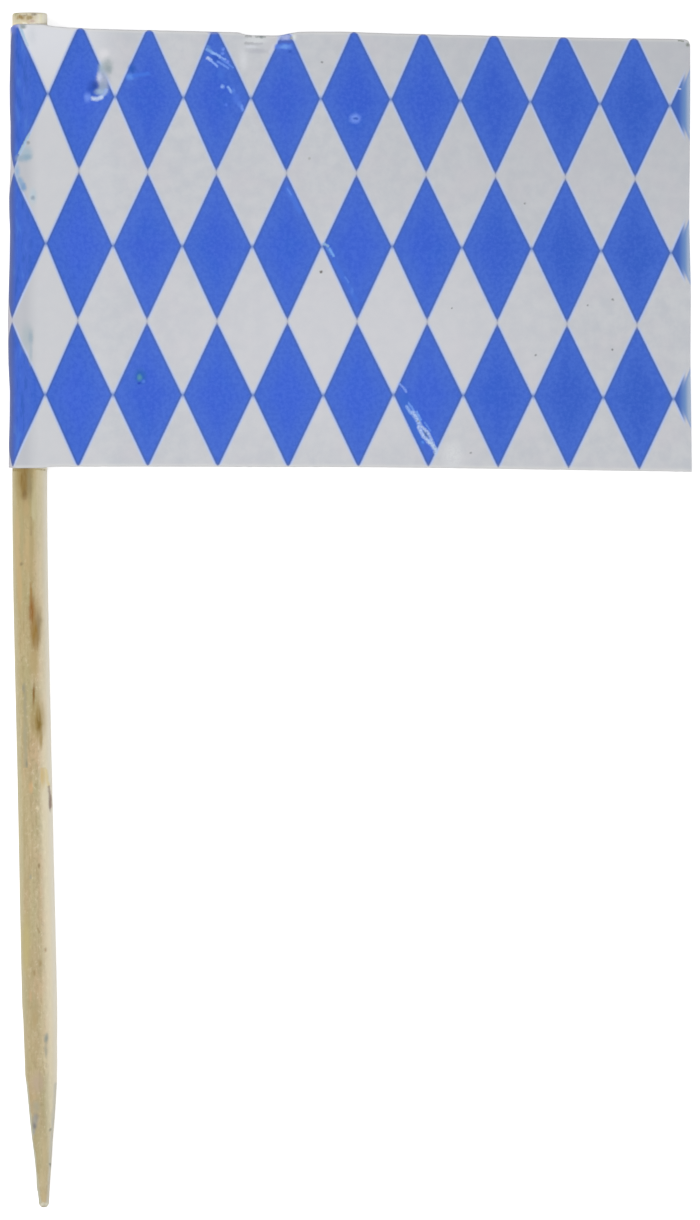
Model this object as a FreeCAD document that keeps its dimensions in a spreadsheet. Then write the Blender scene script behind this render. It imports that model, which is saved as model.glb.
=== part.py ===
import FreeCAD, Part
import math
import os

import Sketcher

# Party pick: a sharpened wooden stick with a small paper flag folded round its blunt end
# The flag is one sheet, printed with blue lozenges, folded round the stick and glued to itself
# Lengths are millimetres and angles degrees
# In each piece's own frame the stick's axis lies on Y with its blunt end at the origin,
# the flag reaches out along +X and its front faces +Z

# Driving dimensions

SIZES = {
    # the stick: overall length, then the straight top, the slight bend and the point
    "stick_diameter": 2.35,
    "stick_length": 80.0,
    "straight_length": 31.3,
    "bend_angle": 1.25,
    "bend_radius": 454.0,
    "shoulder_radius": 34.0,
    "point_half_angle": 5.0,
    "tip_diameter": 0.5,
    "tip_rounding": 0.15,
    "end_rounding": 0.12,
    # the flag's outline, measured from the stick's axis and from its blunt end
    "flag_reach": 44.2,
    "flag_height": 29.5,
    "flag_drop": 0.87,
    "top_slope": 1.05,
    "bottom_slope": 0.54,
    "corner_radius": 0.5,
    # the folded sheet: the two leaves come together where the pinch ends
    "paper_thickness": 0.12,
    "glue_thickness": 0.03,
    "glue_bead_radius": 0.05,
    "pinch_reach": 4.6,
    "pinch_radius": 6.0,
    # the printed lozenges, laid out on the flat sheet from the fold and the blunt end
    "lozenge_width": 4.671,
    "lozenge_height": 9.95,
    "lozenge_gap": 0.11,
    "column_offset": 0.82,
    "row_offset": 5.42,
    "row_slope": 0.77,
    "ink_depth": 0.02,
}

# How far a cutting shape runs past what it trims
OVERCUT = 1.0
# The least of a lozenge's tip that the cut through the sheet leaves at an edge
LEAST_TIP = 0.2

X_AXIS = FreeCAD.Vector(1, 0, 0)
Y_AXIS = FreeCAD.Vector(0, 1, 0)
Z_AXIS = FreeCAD.Vector(0, 0, 1)
ORIGIN = FreeCAD.Vector(0, 0, 0)

doc = FreeCAD.newDocument("party_pick")
sheet = doc.addObject("Spreadsheet::Sheet", "Sizes")
for row, (alias, value) in enumerate(SIZES.items(), start=1):
    sheet.set(f"A{row}", alias)
    sheet.set(f"B{row}", str(value))
    sheet.setAlias(f"B{row}", alias)
doc.recompute()


def size(alias):
    return float(sheet.get(alias))


# Sizes that follow from the driving ones, as expressions for the features

LEAF = "(Sizes.glue_thickness + Sizes.paper_thickness)"
SHAFT = "(Sizes.stick_diameter / 2)"
WRAP = f"({SHAFT} + {LEAF})"
BEND_DX = "(Sizes.bend_radius * (1 - cos(Sizes.bend_angle)))"
BEND_DY = "(Sizes.bend_radius * sin(Sizes.bend_angle))"
LOWER_LENGTH = f"((Sizes.stick_length - Sizes.straight_length - {BEND_DY}) / cos(Sizes.bend_angle))"
TIP_SHARE = "((1 - sin(Sizes.point_half_angle)) / cos(Sizes.point_half_angle))"
TIP_CENTRE = f"(Sizes.tip_diameter / 2 - Sizes.tip_rounding * {TIP_SHARE})"
DROOP = f"asin(({WRAP} - {LEAF}) / Sizes.flag_reach)"

# The same as numbers, for the shapes that are worked out below

shaft = size("stick_diameter") / 2
leaf = size("glue_thickness") + size("paper_thickness")
wrap = shaft + leaf
droop = math.degrees(math.asin((wrap - leaf) / size("flag_reach")))
bend = math.radians(size("bend_angle"))
bend_end = FreeCAD.Vector(
    size("bend_radius") * (1 - math.cos(bend)),
    -size("straight_length") - size("bend_radius") * math.sin(bend),
    0,
)
lower_length = (size("stick_length") + bend_end.y) / math.cos(bend)


def leaf_slope():
    """The angle at which a leaf leaves the stick for the place where the leaves meet."""
    across = math.hypot(size("pinch_reach"), size("pinch_radius"))
    swing = math.acos((shaft + size("pinch_radius")) / across)
    return math.atan2(size("pinch_reach"), size("pinch_radius")) - swing


slope = leaf_slope()


# Helpers for bodies and sketches


def new_body(name):
    return doc.addObject("PartDesign::Body", name)


def origin_plane(body, role):
    return next(plane for plane in body.Origin.OriginFeatures if plane.Role == role)


def new_sketch(body, name, role):
    sketch = body.newObject("Sketcher::SketchObject", name)
    sketch.AttachmentSupport = [(origin_plane(body, role), "")]
    sketch.MapMode = "FlatFace"
    return sketch


def flat(x, y):
    return FreeCAD.Vector(x, y, 0)


def line(sketch, start, end):
    return sketch.addGeometry(Part.LineSegment(start, end), False)


def arc(sketch, centre, radius, start, end):
    circle = Part.Circle(centre, Z_AXIS, radius)
    return sketch.addGeometry(Part.ArcOfCircle(circle, math.radians(start), math.radians(end)), False)


def bind(sketch, name, expression, *constraint):
    """Adds a dimension to a sketch and ties it to the sheet."""
    index = sketch.addConstraint(Sketcher.Constraint(*constraint))
    sketch.renameConstraint(index, name)
    sketch.setExpression(f"Constraints.{name}", expression)


def fix(sketch, *constraint):
    sketch.addConstraint(Sketcher.Constraint(*constraint))


# Ends of a sketch element, and the sketch's own origin and axes
START, END, CENTRE = range(1, 4)
ROOT, H_AXIS = -1, -1


def place(body, rotation=None):
    """Puts a piece in the part's frame: the middle of the outline, lying on the table."""
    body.Placement = FreeCAD.Placement(ORIGIN, rotation or FreeCAD.Rotation())
    body.setExpression("Placement.Base.x", f"-(Sizes.flag_reach - {WRAP}) / 2")
    body.setExpression("Placement.Base.y", "Sizes.stick_length / 2")
    body.setExpression("Placement.Base.z", WRAP)


def place_on_flag(body):
    """The flag turns round the stick until its free edge lies on the table."""
    place(body, FreeCAD.Rotation(Y_AXIS, droop))
    body.setExpression("Placement.Rotation.Angle", DROOP)


# Stick


def stick_spine(body):
    """The stick's centre line: straight under the flag, then gently bent to one side."""
    spine = new_sketch(body, "StickSpine", "XY_Plane")
    radius = size("bend_radius")
    bend_start = flat(0, -size("straight_length"))
    tip = flat(bend_end.x + lower_length * math.sin(bend), -size("stick_length"))
    upper = line(spine, flat(0, 0), bend_start)
    turn = arc(spine, bend_start + flat(radius, 0), radius, 180, 180 + size("bend_angle"))
    lower = line(spine, bend_end, tip)
    fix(spine, "Coincident", upper, START, ROOT, START)
    fix(spine, "Vertical", upper)
    fix(spine, "Tangent", upper, END, turn, START)
    fix(spine, "Tangent", turn, END, lower, START)
    bind(spine, "straight", "Sizes.straight_length", "DistanceY", upper, END, upper, START,
         size("straight_length"))
    bind(spine, "bend_radius", "Sizes.bend_radius", "Radius", turn, radius)
    bind(spine, "bend_dy", BEND_DY, "DistanceY", lower, START, upper, END, -bend_end.y + bend_start.y)
    bind(spine, "length", "Sizes.stick_length", "DistanceY", lower, END, upper, START,
         size("stick_length"))
    return spine


def point_profile(body):
    """What the sharpening takes off: outside the shoulder's curve and the cone."""
    profile = new_sketch(body, "PointProfile", "XY_Plane")
    profile.AttachmentOffset = FreeCAD.Placement(bend_end, FreeCAD.Rotation(Z_AXIS, size("bend_angle")))
    profile.setExpression("AttachmentOffset.Base.x", BEND_DX)
    profile.setExpression("AttachmentOffset.Base.y", f"-(Sizes.straight_length + {BEND_DY})")
    profile.setExpression("AttachmentOffset.Rotation.Angle", "Sizes.bend_angle")

    taper = math.radians(size("point_half_angle"))
    radius = size("shoulder_radius")
    rounding = size("tip_rounding")
    tip_radius = size("tip_diameter") / 2
    shoulder_in = shaft - radius * (1 - math.cos(taper))
    cone_top = flat(shoulder_in, -lower_length + (shoulder_in - tip_radius) / math.tan(taper))
    shoulder = flat(shaft, cone_top.y + radius * math.sin(taper))
    tip_inset = rounding * (1 - math.sin(taper)) / math.cos(taper)
    tip_centre = flat(tip_radius - tip_inset, rounding - lower_length)
    cone_foot = tip_centre + flat(math.cos(taper), -math.sin(taper)) * rounding
    outside = shaft + OVERCUT

    curve = arc(profile, shoulder - flat(radius, 0), radius, -size("point_half_angle"), 0)
    cone = line(profile, cone_top, cone_foot)
    rounded = arc(profile, tip_centre, rounding, 270, 360 - size("point_half_angle"))
    below = line(profile, flat(tip_centre.x, -lower_length), flat(outside, -lower_length))
    side = line(profile, flat(outside, -lower_length), flat(outside, shoulder.y))
    above = line(profile, flat(outside, shoulder.y), shoulder)
    fix(profile, "Coincident", curve, END, above, END)
    fix(profile, "Tangent", curve, START, cone, START)
    fix(profile, "Tangent", cone, END, rounded, END)
    fix(profile, "Tangent", rounded, START, below, START)
    fix(profile, "Coincident", below, END, side, START)
    fix(profile, "Coincident", side, END, above, START)
    fix(profile, "Horizontal", below)
    fix(profile, "Vertical", side)
    fix(profile, "Horizontal", above)
    fix(profile, "Horizontal", curve, CENTRE, curve, END)
    bind(profile, "shoulder_radius", "Sizes.shoulder_radius", "Radius", curve, radius)
    bind(profile, "tip_rounding", "Sizes.tip_rounding", "Radius", rounded, rounding)
    bind(profile, "shaft_radius", SHAFT, "DistanceX", ROOT, START, curve, END, shaft)
    bind(profile, "half_angle", "-90 - Sizes.point_half_angle", "Angle", cone, -math.pi / 2 - taper)
    bind(profile, "tip_radius", TIP_CENTRE, "DistanceX", ROOT, START, rounded, CENTRE, tip_centre.x)
    bind(profile, "outside", f"{SHAFT} + {OVERCUT}", "DistanceX", ROOT, START, side, START, outside)
    bind(profile, "tip", LOWER_LENGTH, "DistanceY", rounded, START, ROOT, START, lower_length)
    return profile


def rim_at(shape, centre):
    """The name of the circular edge whose centre is nearest to a point."""
    rims = [
        (edge.Curve.Center.distanceToPoint(centre), f"Edge{number}")
        for number, edge in enumerate(shape.Edges, start=1)
        if isinstance(edge.Curve, Part.Circle)
    ]
    return min(rims)[1]


def make_stick():
    body = new_body("Stick")
    section = new_sketch(body, "StickSection", "XZ_Plane")
    circle = section.addGeometry(Part.Circle(ORIGIN, Z_AXIS, shaft), False)
    fix(section, "Coincident", circle, CENTRE, ROOT, START)
    bind(section, "diameter", "Sizes.stick_diameter", "Diameter", circle, size("stick_diameter"))
    spine = stick_spine(body)
    dowel = body.newObject("PartDesign::AdditivePipe", "Dowel")
    dowel.Profile = (section, [""])
    dowel.Spine = (spine, ["Edge1", "Edge2", "Edge3"])
    doc.recompute()

    profile = point_profile(body)
    sharpening = body.newObject("PartDesign::Groove", "Sharpening")
    sharpening.Profile = (profile, [""])
    sharpening.ReferenceAxis = (profile, ["V_Axis"])
    sharpening.Angle = 360
    doc.recompute()

    end_rounding = body.newObject("PartDesign::Fillet", "EndRounding")
    end_rounding.Base = (sharpening, [rim_at(sharpening.Shape, ORIGIN)])
    end_rounding.setExpression("Radius", "Sizes.end_rounding")
    place(body)
    body.Label = "stick"
    return body


# Folded sheet and glue


def leaf_face(section, tag, offset, expression, pinch_end=270):
    """One face of the front leaf: round the stick, down at a slope and into the level stretch.

    The offset is the face's distance from the stick, and from the flag's middle plane.
    """
    pinch = flat(size("pinch_reach"), size("pinch_radius"))
    pinch_face = pinch.y - offset
    outward = flat(math.sin(slope), math.cos(slope))
    slope_degrees = math.degrees(slope)
    wrapped = arc(section, ORIGIN, shaft + offset, 90 - slope_degrees, 180)
    sloped = line(section, outward * (shaft + offset), pinch - outward * pinch_face)
    pinched = arc(section, pinch, pinch_face, 270 - slope_degrees, pinch_end)
    fix(section, "Coincident", wrapped, CENTRE, ROOT, START)
    fix(section, "PointOnObject", wrapped, END, H_AXIS)
    fix(section, "Tangent", wrapped, START, sloped, START)
    fix(section, "Tangent", sloped, END, pinched, START)
    bind(section, f"{tag}_wrap", f"{SHAFT} + {expression}", "Radius", wrapped, shaft + offset)
    bind(section, f"{tag}_pinch", f"Sizes.pinch_radius - {expression}", "Radius", pinched, pinch_face)
    bind(section, f"{tag}_pinch_reach", "Sizes.pinch_reach", "DistanceX",
         ROOT, START, pinched, CENTRE, pinch.x)
    bind(section, f"{tag}_pinch_height", "Sizes.pinch_radius", "DistanceY",
         ROOT, START, pinched, CENTRE, pinch.y)
    return wrapped, pinched


def level_face(section, start, height):
    return line(section, flat(start, height), flat(size("flag_reach") + OVERCUT, height))


def close_half(section, outer, inner, outer_offset, inner_offset):
    """Joins the two faces of a half section on the fold's line and past the free edge."""
    outer_wrap, outer_level = outer
    inner_wrap, inner_level = inner
    reach = size("flag_reach") + OVERCUT
    fold = line(section, flat(-shaft - outer_offset, 0), flat(-shaft - inner_offset, 0))
    free_end = line(section, flat(reach, outer_offset), flat(reach, inner_offset))
    fix(section, "Coincident", fold, START, outer_wrap, END)
    fix(section, "Coincident", fold, END, inner_wrap, END)
    fix(section, "Coincident", free_end, START, outer_level, END)
    fix(section, "Coincident", free_end, END, inner_level, END)
    fix(section, "Vertical", free_end)
    bind(section, "reach", f"Sizes.flag_reach + {OVERCUT}", "DistanceX",
         ROOT, START, outer_level, END, reach)


def pad_both_halves(body, section):
    """Runs the front half down past the flag's lowest corner and mirrors it to the back."""
    half = body.newObject("PartDesign::Pad", f"{body.Name}Half")
    half.Profile = (section, [""])
    lowest = "Sizes.flag_drop + Sizes.flag_height + Sizes.flag_reach * tan(Sizes.bottom_slope)"
    half.setExpression("Length", f"{lowest} + {OVERCUT}")
    doc.recompute()
    halves = body.newObject("PartDesign::Mirrored", f"{body.Name}Halves")
    halves.Originals = [half]
    halves.MirrorPlane = (origin_plane(body, "XY_Plane"), [""])
    body.Tip = halves


def make_folded_paper():
    body = new_body("FoldedPaper")
    section = new_sketch(body, "PaperSection", "XZ_Plane")
    glue = size("glue_thickness")
    outer_wrap, outer_pinch = leaf_face(section, "outer", leaf, LEAF)
    inner_wrap, inner_pinch = leaf_face(section, "inner", glue, "Sizes.glue_thickness")
    outer_level = level_face(section, size("pinch_reach"), leaf)
    inner_level = level_face(section, size("pinch_reach"), glue)
    fix(section, "Tangent", outer_pinch, END, outer_level, START)
    fix(section, "Horizontal", outer_level)
    fix(section, "Tangent", inner_pinch, END, inner_level, START)
    fix(section, "Horizontal", inner_level)
    close_half(section, (outer_wrap, outer_level), (inner_wrap, inner_level), leaf, glue)
    pad_both_halves(body, section)
    place_on_flag(body)
    return body


def make_glue_coat():
    """The glue coats the inside of the sheet and fills it where the leaves lie together.

    A rounded bead of glue ends the hollow that the leaves leave beside the stick.
    """
    body = new_body("GlueCoat")
    section = new_sketch(body, "GlueSection", "XZ_Plane")
    glue = size("glue_thickness")
    bead = size("glue_bead_radius")
    back = math.sqrt(bead * (2 * size("pinch_radius") + bead))
    rise = math.degrees(math.atan2(size("pinch_radius"), back))
    centre = flat(size("pinch_reach") - back, 0)
    outer_wrap, outer_pinch = leaf_face(section, "outer", glue, "Sizes.glue_thickness")
    inner_wrap, inner_pinch = leaf_face(section, "inner", 0, "0", 180 + rise)
    outer_level = level_face(section, size("pinch_reach"), glue)
    fix(section, "Tangent", outer_pinch, END, outer_level, START)
    fix(section, "Horizontal", outer_level)
    bead_end = arc(section, centre, bead, 0, rise)
    inner_level = level_face(section, centre.x + bead, 0)
    fix(section, "Tangent", inner_pinch, END, bead_end, END)
    fix(section, "PointOnObject", bead_end, CENTRE, H_AXIS)
    fix(section, "PointOnObject", bead_end, START, H_AXIS)
    bind(section, "bead", "Sizes.glue_bead_radius", "Radius", bead_end, bead)
    fix(section, "Coincident", inner_level, START, bead_end, START)
    fix(section, "PointOnObject", inner_level, END, H_AXIS)
    close_half(section, (outer_wrap, outer_level), (inner_wrap, inner_level), glue, 0)
    pad_both_halves(body, section)
    place_on_flag(body)
    return body


def make_outline():
    """A block with the flag's outline, deeper than the flag is thick, that trims it to its edges."""
    body = new_body("Outline")
    outline = new_sketch(body, "FlagOutline", "XY_Plane")
    left = -wrap - OVERCUT
    reach = size("flag_reach")
    corner = size("corner_radius")
    top_slope = math.radians(size("top_slope"))
    bottom_slope = math.radians(size("bottom_slope"))

    def top_edge(x):
        return -size("flag_drop") - x * math.tan(top_slope)

    def bottom_edge(x):
        return -size("flag_drop") - size("flag_height") - x * math.tan(bottom_slope)

    corner_centre = flat(reach - corner, top_edge(reach - corner) - corner / math.cos(top_slope))
    lean = flat(math.sin(top_slope), math.cos(top_slope))
    top = line(outline, flat(left, top_edge(left)), corner_centre + lean * corner)
    rounding = arc(outline, corner_centre, corner, 0, 90 - size("top_slope"))
    free_edge = line(outline, corner_centre + flat(corner, 0), flat(reach, bottom_edge(reach)))
    bottom = line(outline, flat(reach, bottom_edge(reach)), flat(left, bottom_edge(left)))
    side = line(outline, flat(left, bottom_edge(left)), flat(left, top_edge(left)))
    fix(outline, "Tangent", top, END, rounding, END)
    fix(outline, "Tangent", rounding, START, free_edge, START)
    fix(outline, "Coincident", free_edge, END, bottom, START)
    fix(outline, "Coincident", bottom, END, side, START)
    fix(outline, "Coincident", side, END, top, START)
    fix(outline, "Vertical", free_edge)
    fix(outline, "Vertical", side)
    beyond = f"({WRAP} + {OVERCUT})"
    bind(outline, "left", beyond, "DistanceX", side, END, ROOT, START, -left)
    bind(outline, "reach", "Sizes.flag_reach", "DistanceX", ROOT, START, free_edge, END, reach)
    bind(outline, "corner", "Sizes.corner_radius", "Radius", rounding, corner)
    bind(outline, "top_slope", "-Sizes.top_slope", "Angle", top, -top_slope)
    bind(outline, "bottom_slope", "180 - Sizes.bottom_slope", "Angle", bottom, math.pi - bottom_slope)
    bind(outline, "top", f"Sizes.flag_drop - {beyond} * tan(Sizes.top_slope)", "DistanceY",
         top, START, ROOT, START, -top_edge(left))
    bind(outline, "bottom", f"Sizes.flag_drop + Sizes.flag_height - {beyond} * tan(Sizes.bottom_slope)",
         "DistanceY", bottom, END, ROOT, START, -bottom_edge(left))

    block = body.newObject("PartDesign::Pad", "OutlineBlock")
    block.Profile = (outline, [""])
    block.Midplane = True
    block.setExpression("Length", f"2 * ({WRAP} + {OVERCUT})")
    place_on_flag(body)
    return body


# Printed lozenges
# The print is laid out on the flat sheet: u runs across it from the fold's outermost line,
# positive on the front leaf, and y runs along the stick as in the piece's own frame


def clip_above(points, limit, sign):
    """The part of a convex outline where sign * u is at least sign * limit."""
    kept = []
    for here, there in zip(points, points[1:] + points[:1]):
        inside_here = sign * (here[0] - limit) >= 0
        inside_there = sign * (there[0] - limit) >= 0
        if inside_here:
            kept.append(here)
        if inside_here != inside_there:
            share = (limit - here[0]) / (there[0] - here[0])
            kept.append((limit, here[1] + share * (there[1] - here[1])))
    return kept


def clip_between(points, low, high):
    return clip_above(clip_above(points, low, 1), high, -1)


def flat_field(points, start, along, outward):
    """A field of ink on a flat stretch, sunk into the sheet's outer face."""
    corners = [start + along * across + Y_AXIS * y for across, y in points]
    face = Part.Face(Part.makePolygon(corners + corners[:1]))
    return face.extrude(outward * -size("ink_depth"))


def curved_face(points, radius):
    """A patch of a cylinder about Z, from the points' angles and heights."""
    surface = Part.Cylinder()
    surface.Radius = radius
    edges = []
    for here, there in zip(points, points[1:] + points[:1]):
        straight = Part.Geom2d.Line2dSegment(FreeCAD.Base.Vector2d(*here), FreeCAD.Base.Vector2d(*there))
        edges.append(straight.toShape(surface))
    face = Part.Face(surface, Part.Wire(edges))
    face.validate()
    return face, edges


def curved_field(points, outer_radius, inner_radius, rotation, centre):
    """A field of ink on a rolled stretch, sunk into the sheet's outer face."""
    outer, outer_edges = curved_face(points, outer_radius)
    inner, inner_edges = curved_face(points, inner_radius)
    sides = [Part.makeRuledSurface(*pair) for pair in zip(outer_edges, inner_edges)]
    shell = Part.makeShell([outer, inner] + sides)
    shell.sewShape()
    field = Part.makeSolid(shell)
    if field.Volume < 0:
        field.reverse()
    field.Placement = FreeCAD.Placement(centre, rotation)
    return field


def make_lozenges():
    """Every printed lozenge that meets the flag, each following the sheet round its folds."""
    ink = size("ink_depth")
    pinch = FreeCAD.Vector(size("pinch_reach"), 0, size("pinch_radius"))
    pinch_face = pinch.z - leaf
    outward = FreeCAD.Vector(math.sin(slope), 0, math.cos(slope))
    downhill = FreeCAD.Vector(math.cos(slope), 0, -math.sin(slope))
    slope_start = outward * wrap
    sloped_length = (pinch - outward * pinch_face - slope_start).Length

    wrap_end = wrap * (math.pi / 2 + slope)
    slope_end = wrap_end + sloped_length
    pinch_end = slope_end + pinch_face * slope
    sheet_end = pinch_end + size("flag_reach") - pinch.x

    on_stick = FreeCAD.Rotation(-X_AXIS, Z_AXIS, Y_AXIS, "XYZ")
    on_pinch = FreeCAD.Rotation(-Z_AXIS, X_AXIS, -Y_AXIS, "XYZ")

    def leaf_fields(points):
        """The stretches of an outline that lie on the front leaf beyond the stick."""
        fields = []
        sloped = clip_between(points, wrap_end, slope_end)
        if len(sloped) > 2:
            local = [(u - wrap_end, y) for u, y in sloped]
            fields.append(flat_field(local, slope_start, downhill, outward))
        rolled = clip_between(points, slope_end, pinch_end)
        if len(rolled) > 2:
            local = [((u - pinch_end) / pinch_face, -y) for u, y in rolled]
            fields.append(curved_field(local, pinch_face, pinch_face + ink, on_pinch, pinch))
        level = clip_above(points, pinch_end, 1)
        if len(level) > 2:
            local = [(u - pinch_end, y) for u, y in level]
            start = FreeCAD.Vector(pinch.x, 0, leaf)
            fields.append(flat_field(local, start, X_AXIS, Z_AXIS))
        return fields

    def lozenge(u, y):
        """One lozenge about a point of the flat sheet, as a single solid."""
        share = 1 - size("lozenge_gap") / size("lozenge_width")
        half_width = share * size("lozenge_width") / 2
        half_height = share * size("lozenge_height") / 2
        fall = half_width * row_fall
        points = [(u - half_width, y + fall), (u, y - half_height), (u + half_width, y - fall),
                  (u, y + half_height)]
        fields = leaf_fields(points)
        wrapped = clip_between(points, -wrap_end, wrap_end)
        if len(wrapped) > 2:
            local = [(across / wrap, down) for across, down in wrapped]
            fields.append(curved_field(local, wrap, wrap - ink, on_stick, ORIGIN))
        turned_over = [(-across, down) for across, down in reversed(points)]
        fields += [field.mirror(ORIGIN, Z_AXIS) for field in leaf_fields(turned_over)]
        if len(fields) == 1:
            return fields[0]
        return fields[0].multiFuse(fields[1:]).Solids[0]

    row_fall = math.tan(math.radians(size("row_slope")))
    top_fall = math.tan(math.radians(size("top_slope")))
    bottom_fall = math.tan(math.radians(size("bottom_slope")))
    first_column = -math.ceil((sheet_end + size("column_offset")) / size("lozenge_width"))
    last_column = math.ceil((sheet_end - size("column_offset")) / size("lozenge_width"))
    fields = []
    for column in range(first_column, last_column + 1):
        u = size("column_offset") + column * size("lozenge_width")
        first_y = -size("row_offset") - u * row_fall
        reach = min(abs(u), sheet_end)
        top = -size("flag_drop") - reach * top_fall
        bottom = -size("flag_drop") - size("flag_height") - reach * bottom_fall
        half_height = size("lozenge_height") / 2
        lowest_row = math.ceil((first_y - bottom + half_height) / size("lozenge_height"))
        highest_row = -math.ceil((top - first_y + half_height) / size("lozenge_height"))
        for row in range(highest_row, lowest_row + 1):
            y = first_y - row * size("lozenge_height")
            if bottom - half_height + LEAST_TIP < y < top + half_height - LEAST_TIP:
                fields.append(lozenge(u, y))
    whole = doc.addObject("Part::Feature", "LozengeFields")
    whole.Shape = Part.makeCompound(fields)
    place_on_flag(whole)
    return whole


# Flag


def boolean(kind, name, base, tool, label=None):
    feature = doc.addObject(kind, name)
    feature.Base = base
    feature.Tool = tool
    if label:
        feature.Label = label
    return feature


def make_flag():
    """The folded sheet, its glue and its print, all trimmed to one outline after folding."""
    outline = make_outline()
    glue = boolean("Part::Common", "TrimmedGlue", make_glue_coat(), outline, "flag_glue")
    lozenges = boolean("Part::Common", "TrimmedPrint", make_lozenges(), outline, "flag_print")
    trimmed = boolean("Part::Common", "TrimmedPaper", make_folded_paper(), outline)
    paper = boolean("Part::Cut", "PrintedPaper", trimmed, lozenges, "flag_paper")
    return [paper, lozenges, glue]


pieces = [make_stick()] + make_flag()
doc.recompute()

for item in doc.Objects:
    if {"Invalid", "Error"} & set(item.State):
        raise RuntimeError(f"{item.Label} failed: {item.State}")
for piece in pieces:
    if piece.Shape.isNull() or not piece.Shape.isValid():
        raise RuntimeError(f"{piece.Label} has no valid shape")

os.makedirs("parts", exist_ok=True)
for piece in pieces:
    piece.Shape.exportStep(f"parts/{piece.Label}.step")
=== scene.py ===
import math

import bpy
import numpy as np
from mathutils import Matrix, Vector, noise


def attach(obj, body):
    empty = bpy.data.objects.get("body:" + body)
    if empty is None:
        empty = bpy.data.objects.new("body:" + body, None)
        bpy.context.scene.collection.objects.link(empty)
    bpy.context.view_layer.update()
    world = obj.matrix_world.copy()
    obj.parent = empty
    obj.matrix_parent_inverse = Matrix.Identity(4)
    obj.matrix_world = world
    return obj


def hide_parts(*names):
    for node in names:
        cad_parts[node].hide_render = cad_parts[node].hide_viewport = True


# A party pick seen from above: a sharpened wooden stick with a small printed paper flag
# folded round its blunt end and glued to itself
# Lengths here are millimetres, and every mesh is turned into metres when it is made

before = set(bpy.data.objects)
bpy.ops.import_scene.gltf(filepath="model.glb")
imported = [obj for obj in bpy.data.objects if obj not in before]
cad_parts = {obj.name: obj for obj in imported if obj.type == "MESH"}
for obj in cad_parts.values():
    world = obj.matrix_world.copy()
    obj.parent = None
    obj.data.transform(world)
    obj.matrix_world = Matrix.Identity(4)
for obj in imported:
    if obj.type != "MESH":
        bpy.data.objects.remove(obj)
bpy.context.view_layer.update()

METRES = 0.001

# Sizes of the pick, the same as the part's own

SHAFT = 1.175
STICK_LENGTH = 80.0
STRAIGHT_LENGTH = 31.3
BEND = math.radians(1.25)
BEND_RADIUS = 454.0
FLAG_REACH = 44.2
FLAG_DROP = 0.87
FLAG_HEIGHT = 29.5
PAPER = 0.12
GLUE = 0.03
BEAD_RADIUS = 0.05
PINCH_X = 4.6
PINCH_Z = 6.0

LEAF = PAPER + GLUE
WRAP = SHAFT + LEAF
DROOP = math.asin(SHAFT / FLAG_REACH)
AXIS = (-(FLAG_REACH - WRAP) / 2, STICK_LENGTH / 2, WRAP)

# The photograph, 700 by 1220 pixels: the size of a pixel, and where the stick's blunt end is

PHOTO = (700, 1220)
PIXEL = 0.067
END_PX = (29.85, 13.1)


def smooth_step(value, low, high):
    """Nought below low, one above high, and an easy curve between."""
    share = np.clip((value - low) / (high - low), 0, 1)
    return share * share * (3 - 2 * share)


def on_photo(x, down):
    """A place on the flag, from its own frame to pixels of the photograph."""
    return END_PX[0] + x * math.cos(DROOP) / PIXEL, END_PX[1] + down / PIXEL


def spaced(*stretches):
    """Places along a line from nought: each stretch gives its end and the step that leads there."""
    places = [0.0]
    for end, step in stretches:
        count = max(1, round((end - places[-1]) / step))
        places += list(np.linspace(places[-1], end, count + 1)[1:])
    return np.array(places)


def through(places, points, smoothing=0.0):
    """A line through measured points, given as pairs, with its corners eased."""
    known, values = zip(*points)
    if not smoothing:
        return np.interp(places, known, values)
    offsets = np.linspace(-smoothing, smoothing, 7)
    return sum(np.interp(places + offset, known, values) for offset in offsets) / len(offsets)


def make_piece(name, points, faces, finishes, face_finish=None, flat_faces=None):
    """A mesh in the part's frame, smooth but for its flat faces."""
    mesh = bpy.data.meshes.new(name)
    mesh.from_pydata((np.asarray(points) * METRES).tolist(), [], faces)
    smooth = np.ones(len(faces), bool)
    if flat_faces is not None:
        smooth[flat_faces] = False
    mesh.polygons.foreach_set("use_smooth", smooth)
    for finish in finishes:
        mesh.materials.append(finish)
    if face_finish is not None:
        mesh.polygons.foreach_set("material_index", np.asarray(face_finish, np.int32))
    mesh.update()
    piece = bpy.data.objects.new(name, mesh)
    bpy.context.scene.collection.objects.link(piece)
    return piece


def keep_with_points(piece, name, kind, values):
    """Keeps a value or a vector with each point of a piece, for its finish to read."""
    attribute = piece.data.attributes.new(name, kind, "POINT")
    part = "vector" if kind == "FLOAT_VECTOR" else "value"
    attribute.data.foreach_set(part, np.ravel(values).astype(np.float32))


# Shader maths


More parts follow.
